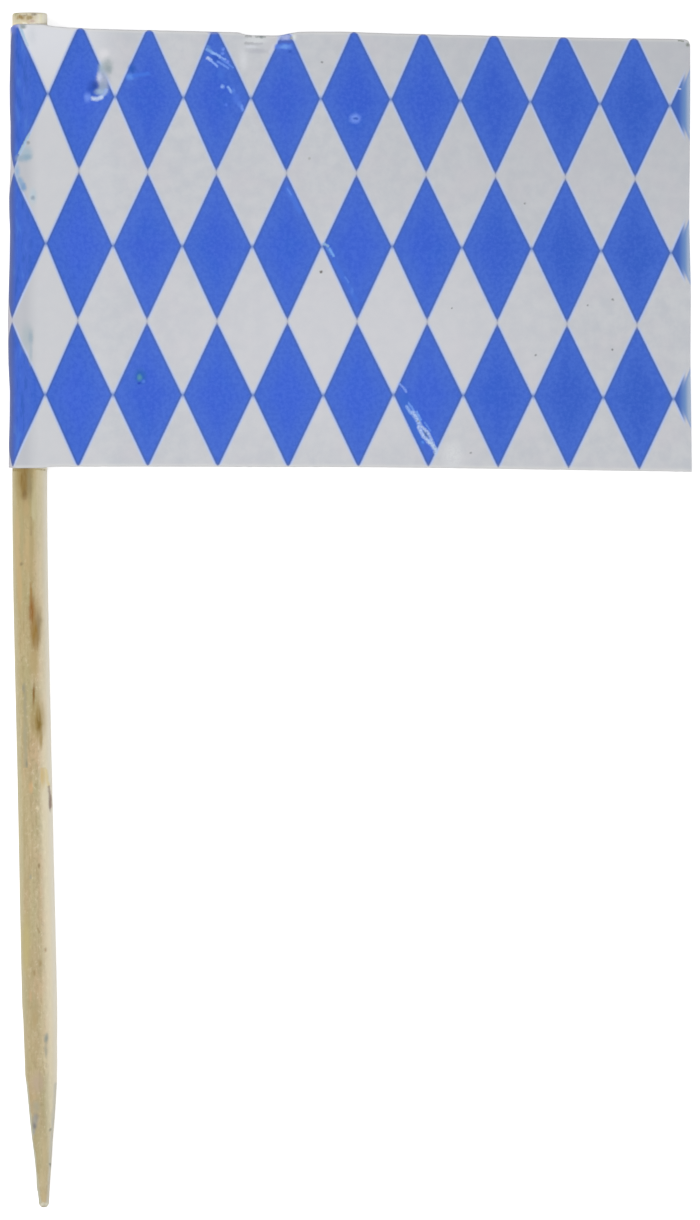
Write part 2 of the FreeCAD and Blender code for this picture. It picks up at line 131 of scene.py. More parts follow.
class Value:
    """A socket of a finish's nodes; sums and products of values add the nodes that work them out."""

    def __init__(self, finish, socket):
        self.finish = finish
        self.socket = socket

    def work_out(self, operation, *parts):
        """One Math node, or a Vector Math node where a part is a vector."""
        vector = any(
            isinstance(part, tuple) or (isinstance(part, Value) and part.socket.type == "VECTOR")
            for part in parts
        )
        kind = "ShaderNodeVectorMath" if vector else "ShaderNodeMath"
        return self.finish.node(kind, {"operation": operation}, dict(enumerate(parts)))

    def __add__(self, other):
        return self.work_out("ADD", self, other)

    def __radd__(self, other):
        return self.work_out("ADD", other, self)

    def __sub__(self, other):
        return self.work_out("SUBTRACT", self, other)

    def __rsub__(self, other):
        return self.work_out("SUBTRACT", other, self)

    def __mul__(self, other):
        return self.work_out("MULTIPLY", self, other)

    def __rmul__(self, other):
        return self.work_out("MULTIPLY", other, self)

    def part(self, letter):
        """The X, Y or Z of a vector."""
        return self.finish.node("ShaderNodeSeparateXYZ", {}, {"Vector": self}, letter)

    def length(self):
        return self.finish.node("ShaderNodeVectorMath", {"operation": "LENGTH"}, {0: self}, "Value")

    def dot(self, other):
        settings = {"operation": "DOT_PRODUCT"}
        return self.finish.node("ShaderNodeVectorMath", settings, {0: self, 1: other}, "Value")

    def at_most(self, other):
        return self.work_out("MINIMUM", self, other)

    def at_least(self, other):
        return self.work_out("MAXIMUM", self, other)

    def size(self):
        return self.work_out("ABSOLUTE", self)

    def from_whole(self):
        """How far a value is from the nearest whole number."""
        return self.work_out("PINGPONG", self, 0.5)

    def rise(self, low, high):
        """Nought below low, one above high, and an easy curve between."""
        sockets = {"Value": self, "From Min": low, "From Max": high}
        return self.finish.node("ShaderNodeMapRange", {"interpolation_type": "SMOOTHSTEP"}, sockets)

    def fall(self, low, high):
        sockets = {"Value": self, "From Min": low, "From Max": high, "To Min": 1.0, "To Max": 0.0}
        return self.finish.node("ShaderNodeMapRange", {"interpolation_type": "SMOOTHSTEP"}, sockets)

    def clipped(self):
        return self.finish.node("ShaderNodeClamp", {}, {"Value": self})


class Finish:
    """A material under construction."""

    def __init__(self, name, world=None):
        self.material = world or bpy.data.materials.new(name)
        self.material.use_nodes = True
        self.tree = self.material.node_tree
        self.tree.nodes.clear()

    def node(self, kind, settings, sockets, output=0):
        """Adds a node, with its settings first and then its sockets' values or links."""
        made = self.tree.nodes.new(kind)
        for setting, value in settings.items():
            setattr(made, setting, value)
        for socket, value in sockets.items():
            self.feed(self.socket_of(made.inputs, socket), value)
        return Value(self, self.socket_of(made.outputs, output)) if made.outputs else None

    @staticmethod
    def socket_of(sockets, key):
        if isinstance(key, int):
            return sockets[key]
        return next((socket for socket in sockets if socket.identifier == key), None) or sockets[key]

    def feed(self, socket, value):
        if isinstance(value, Value):
            self.tree.links.new(value.socket, socket)
        elif socket.type == "RGBA":
            socket.default_value = (*value, 1)
        elif socket.type == "VECTOR" and not isinstance(value, tuple):
            socket.default_value = (value, value, value)
        else:
            socket.default_value = value

    def mix(self, under, over, mask):
        """One colour over another where the mask is one."""
        sockets = {"Factor_Float": mask, "A_Color": under, "B_Color": over}
        return self.node("ShaderNodeMix", {"data_type": "RGBA"}, sockets, "Result_Color")

    def noise(self, place, scale, detail=2.0, roughness=0.5, stretch=None, colour=False):
        """Seedless noise about a half, at so many cells to the millimetre."""
        if stretch:
            place = place * stretch
        sockets = {"Vector": place, "Scale": scale, "Detail": detail, "Roughness": roughness}
        return self.node("ShaderNodeTexNoise", {}, sockets, "Color" if colour else 0)

    def place(self):
        """The place on the pick, in millimetres."""
        return self.node("ShaderNodeTexCoord", {}, {}, "Object") * (1 / METRES)

    def surface(self, colour, roughness, bump=None, depth=0.0, **uniform):
        """The finished shader: what is uniform is set on its own sockets."""
        sockets = {"Base Color": colour, "Roughness": roughness}
        sockets.update(uniform)
        if bump is not None:
            relief = {"Strength": 1.0, "Distance": depth * METRES, "Height": bump}
            sockets["Normal"] = self.node("ShaderNodeBump", {}, relief)
        shader = self.node("ShaderNodeBsdfPrincipled", {}, sockets)
        self.node("ShaderNodeOutputMaterial", {}, {"Surface": shader})
        return self.material


# How much light a level face sends back to the camera, how much the gloss adds, and the darkest paint
LIT = 0.886
GLOSS = 0.030
DARKEST = 0.006

# How far a mark's soft edge reaches inside and outside its outline, as a share of its own reach
MARK_SOFTNESS = 0.8


def as_seen(*levels):
    """The paint that comes out in the picture with these red, green and blue levels of 255."""
    linear = [((level / 255 + 0.055) / 1.055) ** 2.4 for level in levels]
    return tuple(min(max((level - GLOSS) / LIT, DARKEST), 1.0) for level in linear)


def coats(under, *layers):
    """Lays colours over a first one, each given by its levels of 255 and how much of it shows."""
    for levels, share in layers:
        under = share.finish.mix(under, as_seen(*levels), share)
    return under


def seen_place(place):
    """A place on the pick in pixels of the photograph, to the right and down."""
    step = 1 / PIXEL
    corner = (END_PX[0] - AXIS[0] * step, END_PX[1] + AXIS[1] * step, 0.0)
    return place * (step, -step, 0.0) + corner


def spot(seen, centre, reach, soft):
    """A soft-edged oval mark about a pixel of the photograph."""
    away = ((seen - (*centre, 0.0)) * (1 / reach[0], 1 / reach[1], 0.0)).length()
    return away.fall(1 - soft, 1 + soft)


def stroke(seen, start, end, width, soft):
    """A soft-edged stroke between two pixels of the photograph."""
    run = (end[0] - start[0], end[1] - start[1], 0.0)
    from_start = seen - (*start, 0.0)
    share = (from_start.dot(run) * (1 / (run[0] ** 2 + run[1] ** 2))).clipped()
    along = share.finish.node("ShaderNodeVectorMath", {"operation": "SCALE"}, {0: run, "Scale": share})
    away = (from_start - along).length() * (2 / width)
    return away.fall(1 - soft, 1 + soft)


def mark(colour, seen, where, points, width, left):
    """Lays a mark over a colour: a line through pixels, or an oval about a single one."""
    if len(points) == 1:
        mask = spot(seen, points[0], width, MARK_SOFTNESS)
    else:
        mask = stroke(seen, points[0], points[1], width, MARK_SOFTNESS)
        for start, end in zip(points[1:], points[2:]):
            mask = mask.at_least(stroke(seen, start, end, width, MARK_SOFTNESS))
    return coats(colour, (left, mask * where))


# Marks on the flag's front: pixels of the photograph, how wide, and the colour painted there, which is
# wear, dirt and specks for most marks and painted highlights and shade for some

DENT_MARKS = [
    ([(104, 54)], (4.8, 5), (220, 220, 224)),
    ([(102.6, 70)], (4, 6.4), (166, 188, 204)),
    ([(107.6, 66.5)], (4.8, 7.4), (168, 177, 181)),
    ([(108.6, 69.4)], (2.8, 3.2), (156, 168, 174)),
    ([(132, 69)], (3.4, 4.4), (56, 96, 184)),
    # Painted shade inside the dent
    ([(93.6, 88)], (5.8, 7.4), (62, 92, 188)),
    ([(103, 81)], (5.4, 8.4), (172, 180, 202)),
    ([(99.4, 78)], (2.2, 4.8), (196, 204, 230)),
    ([(102.4, 87)], (4.6, 4.6), (150, 165, 188)),
    # Painted shade inside the dent
    ([(95.6, 85.8)], (3, 4.2), (58, 84, 164)),
    ([(101, 92)], (5.6, 3), (158, 182, 210)),
    # Painted highlight: the pale crescent round the dent's lower edge, in the next three marks
    ([(101.6, 97), (104.8, 93.6), (106.2, 89.8)], 3, (156, 180, 228)),
    ([(92.6, 98.4), (97.4, 98.9), (101.4, 97.3)], 3.8, (196, 214, 255)),
    ([(87.7, 97.5)], (3, 4.2), (118, 152, 240)),
    ([(130, 76.8)], (3.6, 2.8), (98, 146, 234)),
    ([(134, 75.6), (148, 73.6)], 4, (76, 120, 222)),
]
SCRATCHES = [
    ([(243.4, 60)], (3.6, 9), (213, 215, 220)),
    ([(217, 58)], (5, 3), (58, 92, 190)),
    ([(208, 46.6), (210.4, 50.6)], 3.2, (100, 140, 212)),
    ([(206.8, 49.2), (213.4, 53.2)], 2.4, (124, 164, 232)),
    ([(212.3, 52.8), (219.4, 55.7)], 2.4, (146, 182, 246)),
    ([(219.6, 57), (224.8, 59.4)], 2.4, (142, 176, 252)),
    ([(207.5, 57.8), (210.6, 60)], 2.8, (180, 200, 255)),
    ([(210.4, 60), (217.2, 66.1)], 2.1, (138, 172, 246)),
    ([(217.8, 61.4), (228.1, 68)], 2.2, (112, 150, 236)),
    ([(221.4, 58.8), (232.9, 67.4)], 1.9, (98, 138, 228)),
    ([(223.1, 49.2)], (1.6, 1.5), (110, 146, 238)),
    ([(222.8, 53.3)], (1.6, 1.5), (108, 144, 236)),
    ([(227.6, 61.4)], (1.5, 1.5), (120, 150, 242)),
    ([(222.5, 86.5)], (1.7, 1.9), (140, 176, 255)),
    ([(228, 87), (231.2, 91.8)], 2.3, (142, 180, 252)),
    ([(226, 104.6)], (1.6, 1.6), (88, 126, 228)),
    ([(241.2, 105.6), (242.6, 109.4)], 2.8, (112, 150, 238)),
    ([(213.8, 32)], (4.6, 1.9), (134, 148, 200)),
    ([(221, 74)], (3, 5), (76, 116, 214)),
    ([(233.6, 91)], (2, 3), (90, 130, 222)),
    ([(236, 98.6)], (3, 4), (84, 122, 222)),
    ([(239.4, 104)], (2, 2.6), (92, 132, 226)),
    ([(287.4, 188.5), (292.6, 198), (299.5, 211)], 4.6, (80, 120, 218)),
    ([(287.6, 189), (291, 194.4)], 1.8, (98, 138, 228)),
    ([(324.2, 243.4), (328, 246)], 2.4, (146, 182, 220)),
    ([(326.8, 248), (330.8, 254)], 1.8, (92, 134, 218)),
    ([(329.6, 248.6), (333.5, 255.6)], 2.3, (124, 172, 240)),
    ([(334.5, 262), (347, 282), (356, 300)], 4.4, (77, 116, 215)),
    ([(345, 277), (348.6, 282)], 1.8, (94, 134, 224)),
    ([(352, 291)], (1.6, 3), (90, 130, 222)),
    ([(355.3, 118.3)], (4.7, 4.1), (124, 158, 246)),
    ([(355.6, 118.4)], (2.5, 1.4), (66, 98, 188)),
]
# Painted shade and highlights at the nick: the grey lines along the crushed top edge are painted shade in
# its creases, and the pale patches where the edge curls are painted highlights
NICK_MARKS = [
    ([(256, 40)], (10.4, 2.6), (216, 219, 222)),
    ([(245.9, 36.2), (250.8, 36.2)], 2.2, (176, 178, 180)),
    ([(255.8, 36.7), (265, 36.7)], 1.8, (174, 178, 178)),
    ([(261.3, 36.7)], (1.8, 1.2), (146, 154, 154)),
    ([(245.3, 43.1), (252.5, 43.3)], 2.4, (180, 182, 186)),
    ([(252.5, 43.6), (262, 43.6)], 2, (188, 190, 196)),
    ([(250.4, 46.6)], (6, 1.3), (212, 215, 222)),
    ([(258, 51)], (9, 2.2), (186, 188, 196)),
    ([(274.4, 44), (270, 52)], 2.6, (206, 208, 220)),
    ([(284.9, 36.6)], (6.2, 3.4), (170, 182, 227)),
    ([(277.6, 46.6), (290, 46.6)], 5.2, (90, 128, 224)),
    ([(284.7, 46.5)], (4.4, 1.8), (112, 158, 236)),
    ([(279, 41.7), (291, 41.3)], 2.6, (84, 106, 184)),
    ([(291.5, 37.8)], (1.4, 1.4), (158, 163, 163)),
    ([(294.2, 36.9)], (1.9, 2.5), (220, 225, 224)),
    ([(290, 51.4)], (1.6, 1.3), (60, 93, 190)),
]
CREASE_MARKS = [
    # Painted highlight where the crease's end raises the paper
    ([(453, 456)], (9, 12), (215, 217, 220)),
    ([(403, 398), (412, 420), (422, 440)], 9, (68, 110, 206)),
    ([(399.6, 384), (403.2, 387), (406.2, 391.6)], 2.4, (134, 164, 238)),
    ([(406.9, 406.6), (410.6, 412.4)], 3, (148, 182, 248)),
    ([(408.6, 402.6), (414.2, 411.4)], 2.2, (112, 154, 236)),
    ([(413.2, 413), (416.4, 416.8), (419.4, 424)], 4.2, (172, 198, 244)),
    ([(416.8, 411.8), (420.6, 419.6)], 2.2, (120, 164, 238)),
    ([(418.3, 421)], (1, 1), (140, 150, 162)),
    ([(424.5, 430.7), (427.4, 437.3)], 2.4, (90, 115, 162)),
    ([(418.6, 427), (423.4, 436), (429, 442)], 3.4, (182, 204, 246)),
    ([(421.5, 426.4), (427.5, 431.8), (430.5, 437.6), (433.8, 445)], 2.8, (174, 196, 238)),
    ([(425, 422.4), (430.4, 430.6)], 1.8, (104, 146, 230)),
    ([(429.4, 441.8), (433.2, 446.2), (435.6, 449.4), (435.8, 452.4)], 3.8, (188, 208, 236)),
    ([(422.6, 442.4)], (1.4, 1.4), (92, 142, 230)),
]
FOLD_MARKS = [
    ([(15.2, 25.8)], (4.8, 2.6), (160, 168, 216)),
    ([(13.6, 30)], (2.6, 4), (104, 122, 196)),
    ([(21.4, 30), (28, 46)], 2.4, (166, 194, 218)),
    ([(23.2, 27)], (3.2, 2.4), (150, 158, 162)),
    ([(23.4, 27.3)], (1.6, 1.4), (150, 160, 162)),
    ([(31.2, 37)], (4.4, 9), (213, 216, 222)),
    ([(29.6, 135), (19.8, 154)], 2.2, (162, 190, 214)),
    ([(28.4, 143.4)], (1.6, 1.6), (150, 156, 162)),
    ([(27, 154.4)], (5, 6.4), (164, 184, 198)),
    ([(21.6, 159)], (5, 3.4), (154, 172, 188)),
    ([(27.6, 157.6)], (4, 2.6), (146, 170, 188)),
    ([(17.6, 172)], (2.4, 6), (152, 176, 206)),
    ([(20.2, 180), (24.2, 189)], 5.4, (142, 168, 198)),
    ([(24, 187)], (2.4, 3.2), (128, 156, 192)),
    ([(33.4, 197)], (3.4, 6.8), (188, 203, 213)),
    ([(33.2, 198.4)], (1.8, 2), (154, 166, 180)),
    ([(27.6, 337)], (5, 11), (174, 184, 190)),
    ([(31, 338)], (2, 6.4), (162, 177, 189)),
    ([(31, 353)], (1.8, 9), (176, 187, 197)),
]
SPECKS = [
    ([(321.2, 271.8)], (1.25, 1.25), (96, 92, 86)),
    ([(309.5, 158.3)], (1.4, 1.3), (174, 176, 176)),
    ([(140.4, 376.4)], (4.8, 6.4), (54, 102, 180)),
    ([(139.6, 377.4)], (2.2, 2.8), (88, 146, 174)),
    ([(139.4, 383.2)], (1.7, 1.2), (36, 76, 184)),
    ([(143.4, 381.4)], (1.5, 1.5), (88, 128, 222)),
    ([(322, 62)], (1.1, 1.1), (140, 142, 146)),
    ([(525, 203)], (1, 1), (150, 152, 156)),
    ([(452, 308)], (1, 1), (150, 152, 156)),
    ([(588, 305)], (1, 1), (150, 152, 156)),
    ([(536, 355)], (1, 1), (150, 152, 156)),
    ([(612.4, 349.4)], (1.1, 1.1), (128, 130, 132)),
    ([(613, 299.4)], (1, 1), (142, 144, 146)),
    ([(471, 453)], (1, 1), (142, 144, 148)),
    ([(677.5, 88), (681, 88.4)], 1.5, (198, 206, 228)),
    ([(679, 40), (683.5, 40.6)], 1.6, (150, 155, 150)),
    ([(688, 44)], (1.6, 1.8), (140, 146, 140)),
]

# Marks on the stick, as the photograph shows it from above
END_MARKS = [
    # Painted light: the paler right of the blunt end
    ([(41, 18)], (8, 6), (243, 240, 225)),
    ([(24.6, 18)], (11, 4.2), (190, 175, 142)),
    # Painted light: the end's rounded top edge is painted paler to lift its shade
    ([(29, 14.2)], (12, 1.2), (224, 216, 192)),
    ([(15.8, 14.8)], (2.4, 1.8), (178, 174, 138)),
    ([(20.6, 18)], (3.2, 1.9), (148, 124, 78)),
    ([(25, 15.3)], (2.4, 1.1), (158, 146, 122)),
    ([(30, 18.4)], (2.6, 1.7), (156, 138, 96)),
    ([(34.2, 15.4)], (2.4, 1.1), (150, 140, 126)),
    ([(32, 22.4)], (3.6, 1.4), (202, 182, 168)),
    ([(17.8, 21.4)], (2.8, 1.6), (200, 197, 168)),
    # Painted light: the paler right of the blunt end
    ([(41.4, 18)], (1.5, 5), (236, 231, 200)),
    # Painted light: a pale line along the flag's top edge lifts the shadow there
    ([(24, 24.8), (46, 24.8)], 1.8, (240, 235, 222)),
]
STAIN_RING = [(26.8, 517.6), (30.4, 519), (31.4, 523.6), (29.8, 528.6), (26.8, 528.4), (25.4, 523.4)]
STAINS_AND_SHADOW = [
    # Painted shadow: the dark line on the wood just under the flag's lower edge, fading to the right
    ([(13.6, 470.4), (32, 470.4)], 2.2, (146, 130, 88)),
    ([(32, 470.4), (45, 470.2)], 1.6, (178, 166, 126)),
    ([(33.4, 480), (34.4, 518)], 4, (196, 187, 150)),
    ([(17.4, 540)], (2.4, 28), (192, 171, 130)),
    ([(22.2, 544)], (1.6, 36), (172, 160, 120)),
    ([(28.4, 548)], (2.4, 20), (190, 169, 126)),
    ([(31.6, 550)], (2, 24), (177, 160, 119)),
    ([(34.2, 662)], (4.4, 14), (180, 161, 118)),
    ([(20, 585)], (2.2, 22), (190, 166, 122)),
    ([(31.2, 518), (31.8, 534)], 2.4, (166, 148, 110)),
    ([(24.6, 478)], (7.8, 18), (148, 126, 78)),
    ([(25, 479)], (4, 13), (128, 102, 54)),
    ([(24.6, 491)], (2.6, 10), (136, 112, 64)),
    ([(30, 483)], (2.8, 16), (150, 136, 100)),
    ([(25.2, 495)], (1.8, 5), (128, 106, 68)),
    ([(26.4, 508)], (3.6, 9), (180, 158, 116)),
    ([(21.6, 564)], (1.4, 1.4), (140, 125, 92)),
    (STAIN_RING, 1.4, (176, 159, 118)),
    ([(31.4, 592)], (1.4, 11), (160, 130, 80)),
    ([(35.6, 623)], (5.4, 22), (168, 142, 98)),
    ([(32.2, 611)], (2.4, 12), (142, 100, 46)),
    ([(38.6, 625)], (2.8, 13), (156, 138, 106)),
    ([(35, 633)], (3, 12), (146, 114, 58)),
    ([(37.4, 642)], (2.8, 7), (154, 130, 88)),
    ([(34, 695)], (1.3, 11), (130, 98, 46)),
    ([(38, 719)], (6.2, 18), (166, 145, 96)),
    ([(39.2, 722)], (2.8, 11), (148, 126, 78)),
    ([(39, 724)], (1.3, 5), (128, 104, 56)),
    ([(41.4, 740)], (1.4, 8), (172, 150, 106)),
    ([(25.4, 700)], (1.8, 15), (160, 152, 126)),
    ([(25.6, 744)], (2.2, 30), (166, 158, 130)),
    ([(24, 688)], (1.2, 4), (142, 140, 122)),
    ([(26.8, 764)], (1.2, 4), (146, 142, 120)),
]
LOWER_MARKS = [
    ([(43.4, 774)], (2.4, 11), (208, 184, 130)),
    ([(46, 770), (49, 787)], 2.6, (224, 208, 160)),
    ([(49, 787), (50.8, 807)], 2.4, (172, 156, 140)),
    ([(50.6, 801)], (1.1, 8), (150, 132, 118)),
    ([(31.4, 787)], (1.8, 5), (204, 172, 128)),
    ([(38.3, 807.6)], (1.5, 2.2), (222, 210, 178)),
    ([(39.5, 866)], (1, 2.4), (152, 132, 96)),
    ([(30.8, 876)], (1, 2.4), (160, 156, 138)),
    ([(26.4, 944)], (3.6, 24), (190, 176, 126)),
    ([(38.3, 928), (39.8, 932)], 2, (168, 148, 112)),
    ([(45.8, 949.7)], (1.2, 2.4), (176, 150, 116)),
    ([(40.4, 963)], (1.6, 3.4), (170, 150, 112)),
    ([(34.9, 972.7)], (1.2, 2.6), (166, 144, 104)),
    ([(31, 996)], (1.3, 5), (200, 170, 134)),
    ([(35.4, 1019)], (2.6, 10), (180, 160, 120)),
    ([(46.6, 1038)], (2, 4.6), (154, 158, 148)),
    ([(46.4, 1050)], (1.4, 6), (178, 172, 152)),
    ([(38, 1082)], (6, 9), (189, 170, 146)),
    ([(36, 1106)], (3.8, 5), (174, 166, 142)),
    ([(36.4, 1117.6)], (2.4, 4.6), (152, 146, 138)),
    ([(34.6, 1122)], (2.8, 7), (164, 160, 150)),
    ([(34.4, 1126)], (1.9, 3.2), (128, 126, 126)),
    ([(33.6, 1131.6)], (1.7, 2.8), (162, 165, 160)),
    # Painted reflections: pale rims down both sides of the point
    ([(26.2, 1082), (30.4, 1118), (36.4, 1174), (40, 1203)], 2.6, (196, 196, 176)),
    ([(56.2, 1084), (53.6, 1118), (50.2, 1174), (48, 1203)], 3.4, (208, 205, 190)),
    # Painted light: the point's rounded end is painted paler to lift its shade
    ([(40, 1205), (48, 1205)], 3.6, (232, 228, 208)),
    ([(50.5, 1129)], (1.2, 1.6), (150, 150, 132)),
    ([(50.5, 1164.6)], (1.2, 1.6), (150, 150, 132)),
    ([(43.8, 1195)], (1.8, 6), (200, 180, 140)),
    ([(44.6, 1160)], (3, 30), (200, 184, 146)),
]

# Each group of marks on the paper, and how far its ink or dirt has flaked away in patches; the dented,
# nicked and creased groups also hold painted highlights and painted shade
PAPER_WEAR_AND_LIGHT = {
    "dented": (DENT_MARKS, 0.15),
    "scratched": (SCRATCHES, 0.2),
    "nicked": (NICK_MARKS, 0.15),
    "creased": (CREASE_MARKS, 0.4),
    "stained": (FOLD_MARKS, 0.1),
    "specked": (SPECKS, 0.1),
}

# The marks of each stretch of the wood, from the sawn end down, with painted light and shade among the
# stains
WOOD_WEAR_AND_LIGHT = {
    "sawn": END_MARKS,
    "stained": STAINS_AND_SHADOW,
    "handled": LOWER_MARKS,
}


# How far outside a mark the finish of its group still reaches, in pixels of the photograph
MARK_MARGIN = 9.0


def near_line(px, py, line):
    """How far a pixel is from a line of points, or from a single one."""
    nearest = np.full(np.shape(px), np.inf)
    for (x0, y0), (x1, y1) in zip(line, line[1:] or line):
        run_x, run_y = x1 - x0, y1 - y0
        length_squared = run_x**2 + run_y**2 or 1.0
        share = np.clip(((px - x0) * run_x + (py - y0) * run_y) / length_squared, 0, 1)
        nearest = np.minimum(nearest, np.hypot(px - x0 - share * run_x, py - y0 - share * run_y))
    return nearest


def marked_places(px, py, groups):
    """Which group's marks are nearest to each place, counted from one, and nought where none is near."""
    nearest = np.full(np.shape(px), MARK_MARGIN)
    reached = np.zeros(np.shape(px), np.int32)
    for number, marks in enumerate(groups, 1):
        for points, width, _ in marks:
            reach = max(width) if len(points) == 1 else width / 2
            away = near_line(px, py, points) - reach
            reached[away < nearest] = number
            nearest = np.minimum(nearest, away)
    return reached


# The flag's sheet

# The sheet's outer face, followed from the fold round the stick, down the slope, through the pinch
# and out to the free edge
PINCH_FACE = PINCH_Z - LEAF
SLOPE = math.atan2(PINCH_X, PINCH_Z) - math.acos((SHAFT + PINCH_Z) / math.hypot(PINCH_X, PINCH_Z))
SLOPE_RUN = math.sqrt(PINCH_X**2 + PINCH_Z**2 - (SHAFT + PINCH_Z) ** 2)
WRAP_END = WRAP * (math.pi / 2 + SLOPE)
SLOPE_END = WRAP_END + SLOPE_RUN
PINCH_END = SLOPE_END + PINCH_FACE * SLOPE
SHEET_END = PINCH_END + FLAG_REACH - PINCH_X

# The cut edges and the fold, in pixels of the photograph
TOP_EDGE = [
    (10, 28.5), (13, 25.4), (18, 24.7), (45, 25.0), (51, 26.3), (62, 27.2), (90, 28.6), (135, 29.7),
    (195, 31.0), (238, 32.0), (244, 34.0), (250, 34.9), (277, 35.3), (286, 33.8), (298, 31.4),
    (345, 31.3), (390, 33.0), (480, 34.9), (530, 36.2), (555, 36.6), (600, 37.4), (670, 38.1), (690, 38.7),
]
BOTTOM_EDGE = [
    (10, 467.4), (14, 468.4), (44, 468.3), (51, 466.9), (120, 466.6), (270, 467.0), (345, 467.0),
    (435, 467.8), (500, 468.8), (600, 470.4), (670, 471.4), (690, 471.8),
]
FREE_EDGE = [
    (40, 690.5), (98, 690.6), (180, 690.0), (220, 689.6), (290, 691.2), (362, 690.6), (410, 691.2),
    (472, 692.0),
]
FOLD_EDGE = [
    (26, 11.2), (60, 10.1), (86, 9.6), (110, 9.8), (142, 11.2), (158, 10.7), (180, 9.7), (198, 9.0),
    (215, 9.2), (230, 10.0), (242, 9.8), (265, 9.4), (292, 8.6), (319, 7.7), (340, 8.0), (365, 8.4),
    (392, 9.8), (420, 9.5), (446, 8.8), (467, 8.5),
]

# Where the flag was pressed in, creased and torn, in pixels of the photograph
DENT = (97, 92)
CREASE = [(215, 50), (290, 180), (345, 280), (400, 390), (437, 455)]
NICK = (240, 294)

# How far all that and the flag's waves stand out of its plane, in millimetres
WAVE_HEIGHT = 0.05
RIPPLE_HEIGHT = 0.025
CORNER_LIFT = 0.32
DENT_DEPTH = 0.09
DENT_LIP = 0.035
CREASE_HEIGHT = 0.05
CURL_DEPTH = 0.05

# The corners at the free edge, how far the cuts are frayed, and how far the back leaf stops short
CORNER_RADIUS = 0.4
FRAYING = 0.02
BACK_SHORT = 0.04


def flag_flex(x, down):
    """How far the flag bends out of its plane, both leaves together."""
    px, py = on_photo(x, down)
    free = smooth_step(x, 4.0, 10.0)
    settled = 1 - smooth_step(x, 36.0, FLAG_REACH)
    waves = WAVE_HEIGHT * np.sin(0.36 * x + 0.5) * np.cos(0.17 * down - 0.4)
    waves = waves + RIPPLE_HEIGHT * np.sin(0.8 * x - 0.35 * down)
    lift = CORNER_LIFT * smooth_step(x, 18.0, FLAG_REACH) * smooth_step(down, 12.0, 31.0) ** 1.4
    right, below = px - DENT[0], py - DENT[1]
    dent = -DENT_DEPTH * np.exp(-((right / 7) ** 2) - (below / 6) ** 2)
    lip = DENT_LIP * np.exp(-((right / 11) ** 2) - ((below - 9) / 3) ** 2)
    ridge = CREASE_HEIGHT * np.exp(-((near_line(px, py, CREASE) / 5.0) ** 2)) * smooth_step(px, 215, 260)
    top = through(px, TOP_EDGE)
    torn = smooth_step(px, NICK[0], NICK[0] + 8) * (1 - smooth_step(px, NICK[1] - 14, NICK[1]))
    curl = -CURL_DEPTH * torn * np.exp(-np.clip(py - top, 0, None) / 3.5)
    return free * (waves * settled + lift) + dent + lip + ridge + curl


def fold_bulge(round_sheet, down):
    """How far the sheet stands off the stick at the fold."""
    _, py = on_photo(0, down)
    off = (END_PX[0] - WRAP / PIXEL - through(py, FOLD_EDGE, 4.0)) * PIXEL
    return np.clip(off, -0.02, None) * np.exp(-((round_sheet / 1.3) ** 2))


def outer_face(round_sheet):
    """Where the outer face runs and which way it looks, at distances round the sheet from the fold."""
    away = np.abs(round_sheet)
    side = np.where(round_sheet < 0, -1.0, 1.0)
    turn = np.clip(away / WRAP, 0, math.pi / 2 + SLOPE)
    sloped = np.clip(away - WRAP_END, 0, SLOPE_RUN)
    turned_back = np.clip((away - SLOPE_END) / PINCH_FACE, 0, SLOPE)
    level = np.clip(away - PINCH_END, 0, None)
    lean = SLOPE - turned_back
    pinched = PINCH_FACE * (math.sin(SLOPE) - np.sin(lean))
    x = -WRAP * np.cos(turn) + sloped * math.cos(SLOPE) + pinched + level
    z = WRAP * np.sin(turn) - sloped * math.sin(SLOPE) - PINCH_FACE * (np.cos(lean) - math.cos(SLOPE))
    heading = turn - turned_back
    return x, side * z, -np.cos(heading), side * np.sin(heading)


def cut_edges(x, front):
    """The top and bottom edges of the sheet, as distances down from the stick's blunt end."""
    px, _ = on_photo(x, 0)
    top = (through(px, TOP_EDGE, 1.5) - END_PX[1]) * PIXEL
    bottom = (through(px, BOTTOM_EDGE, 3.0) - END_PX[1]) * PIXEL
    into_corner = np.clip(x - (FLAG_REACH - CORNER_RADIUS), 0, CORNER_RADIUS)
    top += CORNER_RADIUS - np.sqrt(CORNER_RADIUS**2 - into_corner**2) * 0.98
    places = zip(x.tolist(), front.tolist())
    frayed = FRAYING * np.array([noise.noise(Vector((at * 2.1, 4.0 * leaf, 0.0))) for at, leaf in places])
    short = BACK_SHORT * (1 - front)
    return top + frayed + short, bottom + frayed[::-1] - short


def lay_flag(x, down, z):
    """From the flag's frame to the part's: the flag droops until its free edge rests."""
    return np.stack([
        AXIS[0] + x * math.cos(DROOP) + z * math.sin(DROOP),
        AXIS[1] - down,
        AXIS[2] - x * math.sin(DROOP) + z * math.cos(DROOP),
    ], axis=-1)


# The print's lozenges: how wide they are, where the first column's middle lies round the sheet, how far
# a middle is from the sides, and the white left between them as a share of that
LOZENGE_WIDTH = 4.671
FIRST_COLUMN = 0.84
MIDDLE_TO_SIDE = 2.114
LOZENGE_GAP = 0.016
# How the print drifted on the sheet, at places across the flag and in pixels of the photograph: the
# middle of each row of lozenges and the line where their tips meet those of the next, in turn
HALF_ROW_LINES = [
    [(47, 94.4), (114, 96.8), (250, 98.1), (390, 99.2), (529, 101.5), (669, 105.2)],
    [(79, 170.9), (147, 172.0), (286, 173.0), (356, 173.0), (495, 175.3), (634, 178.3)],
    [(46, 243.8), (113, 245.8), (252, 246.6), (392, 246.2), (531, 248.5), (670, 252.5)],
    [(78, 320.6), (147, 321.2), (357, 321.2), (427, 321.6), (497, 322.4), (637, 325.1)],
    [(45, 394.9), (182, 394.9), (322, 395.4), (392, 394.8), (532, 396.0), (672, 398.8)],
]
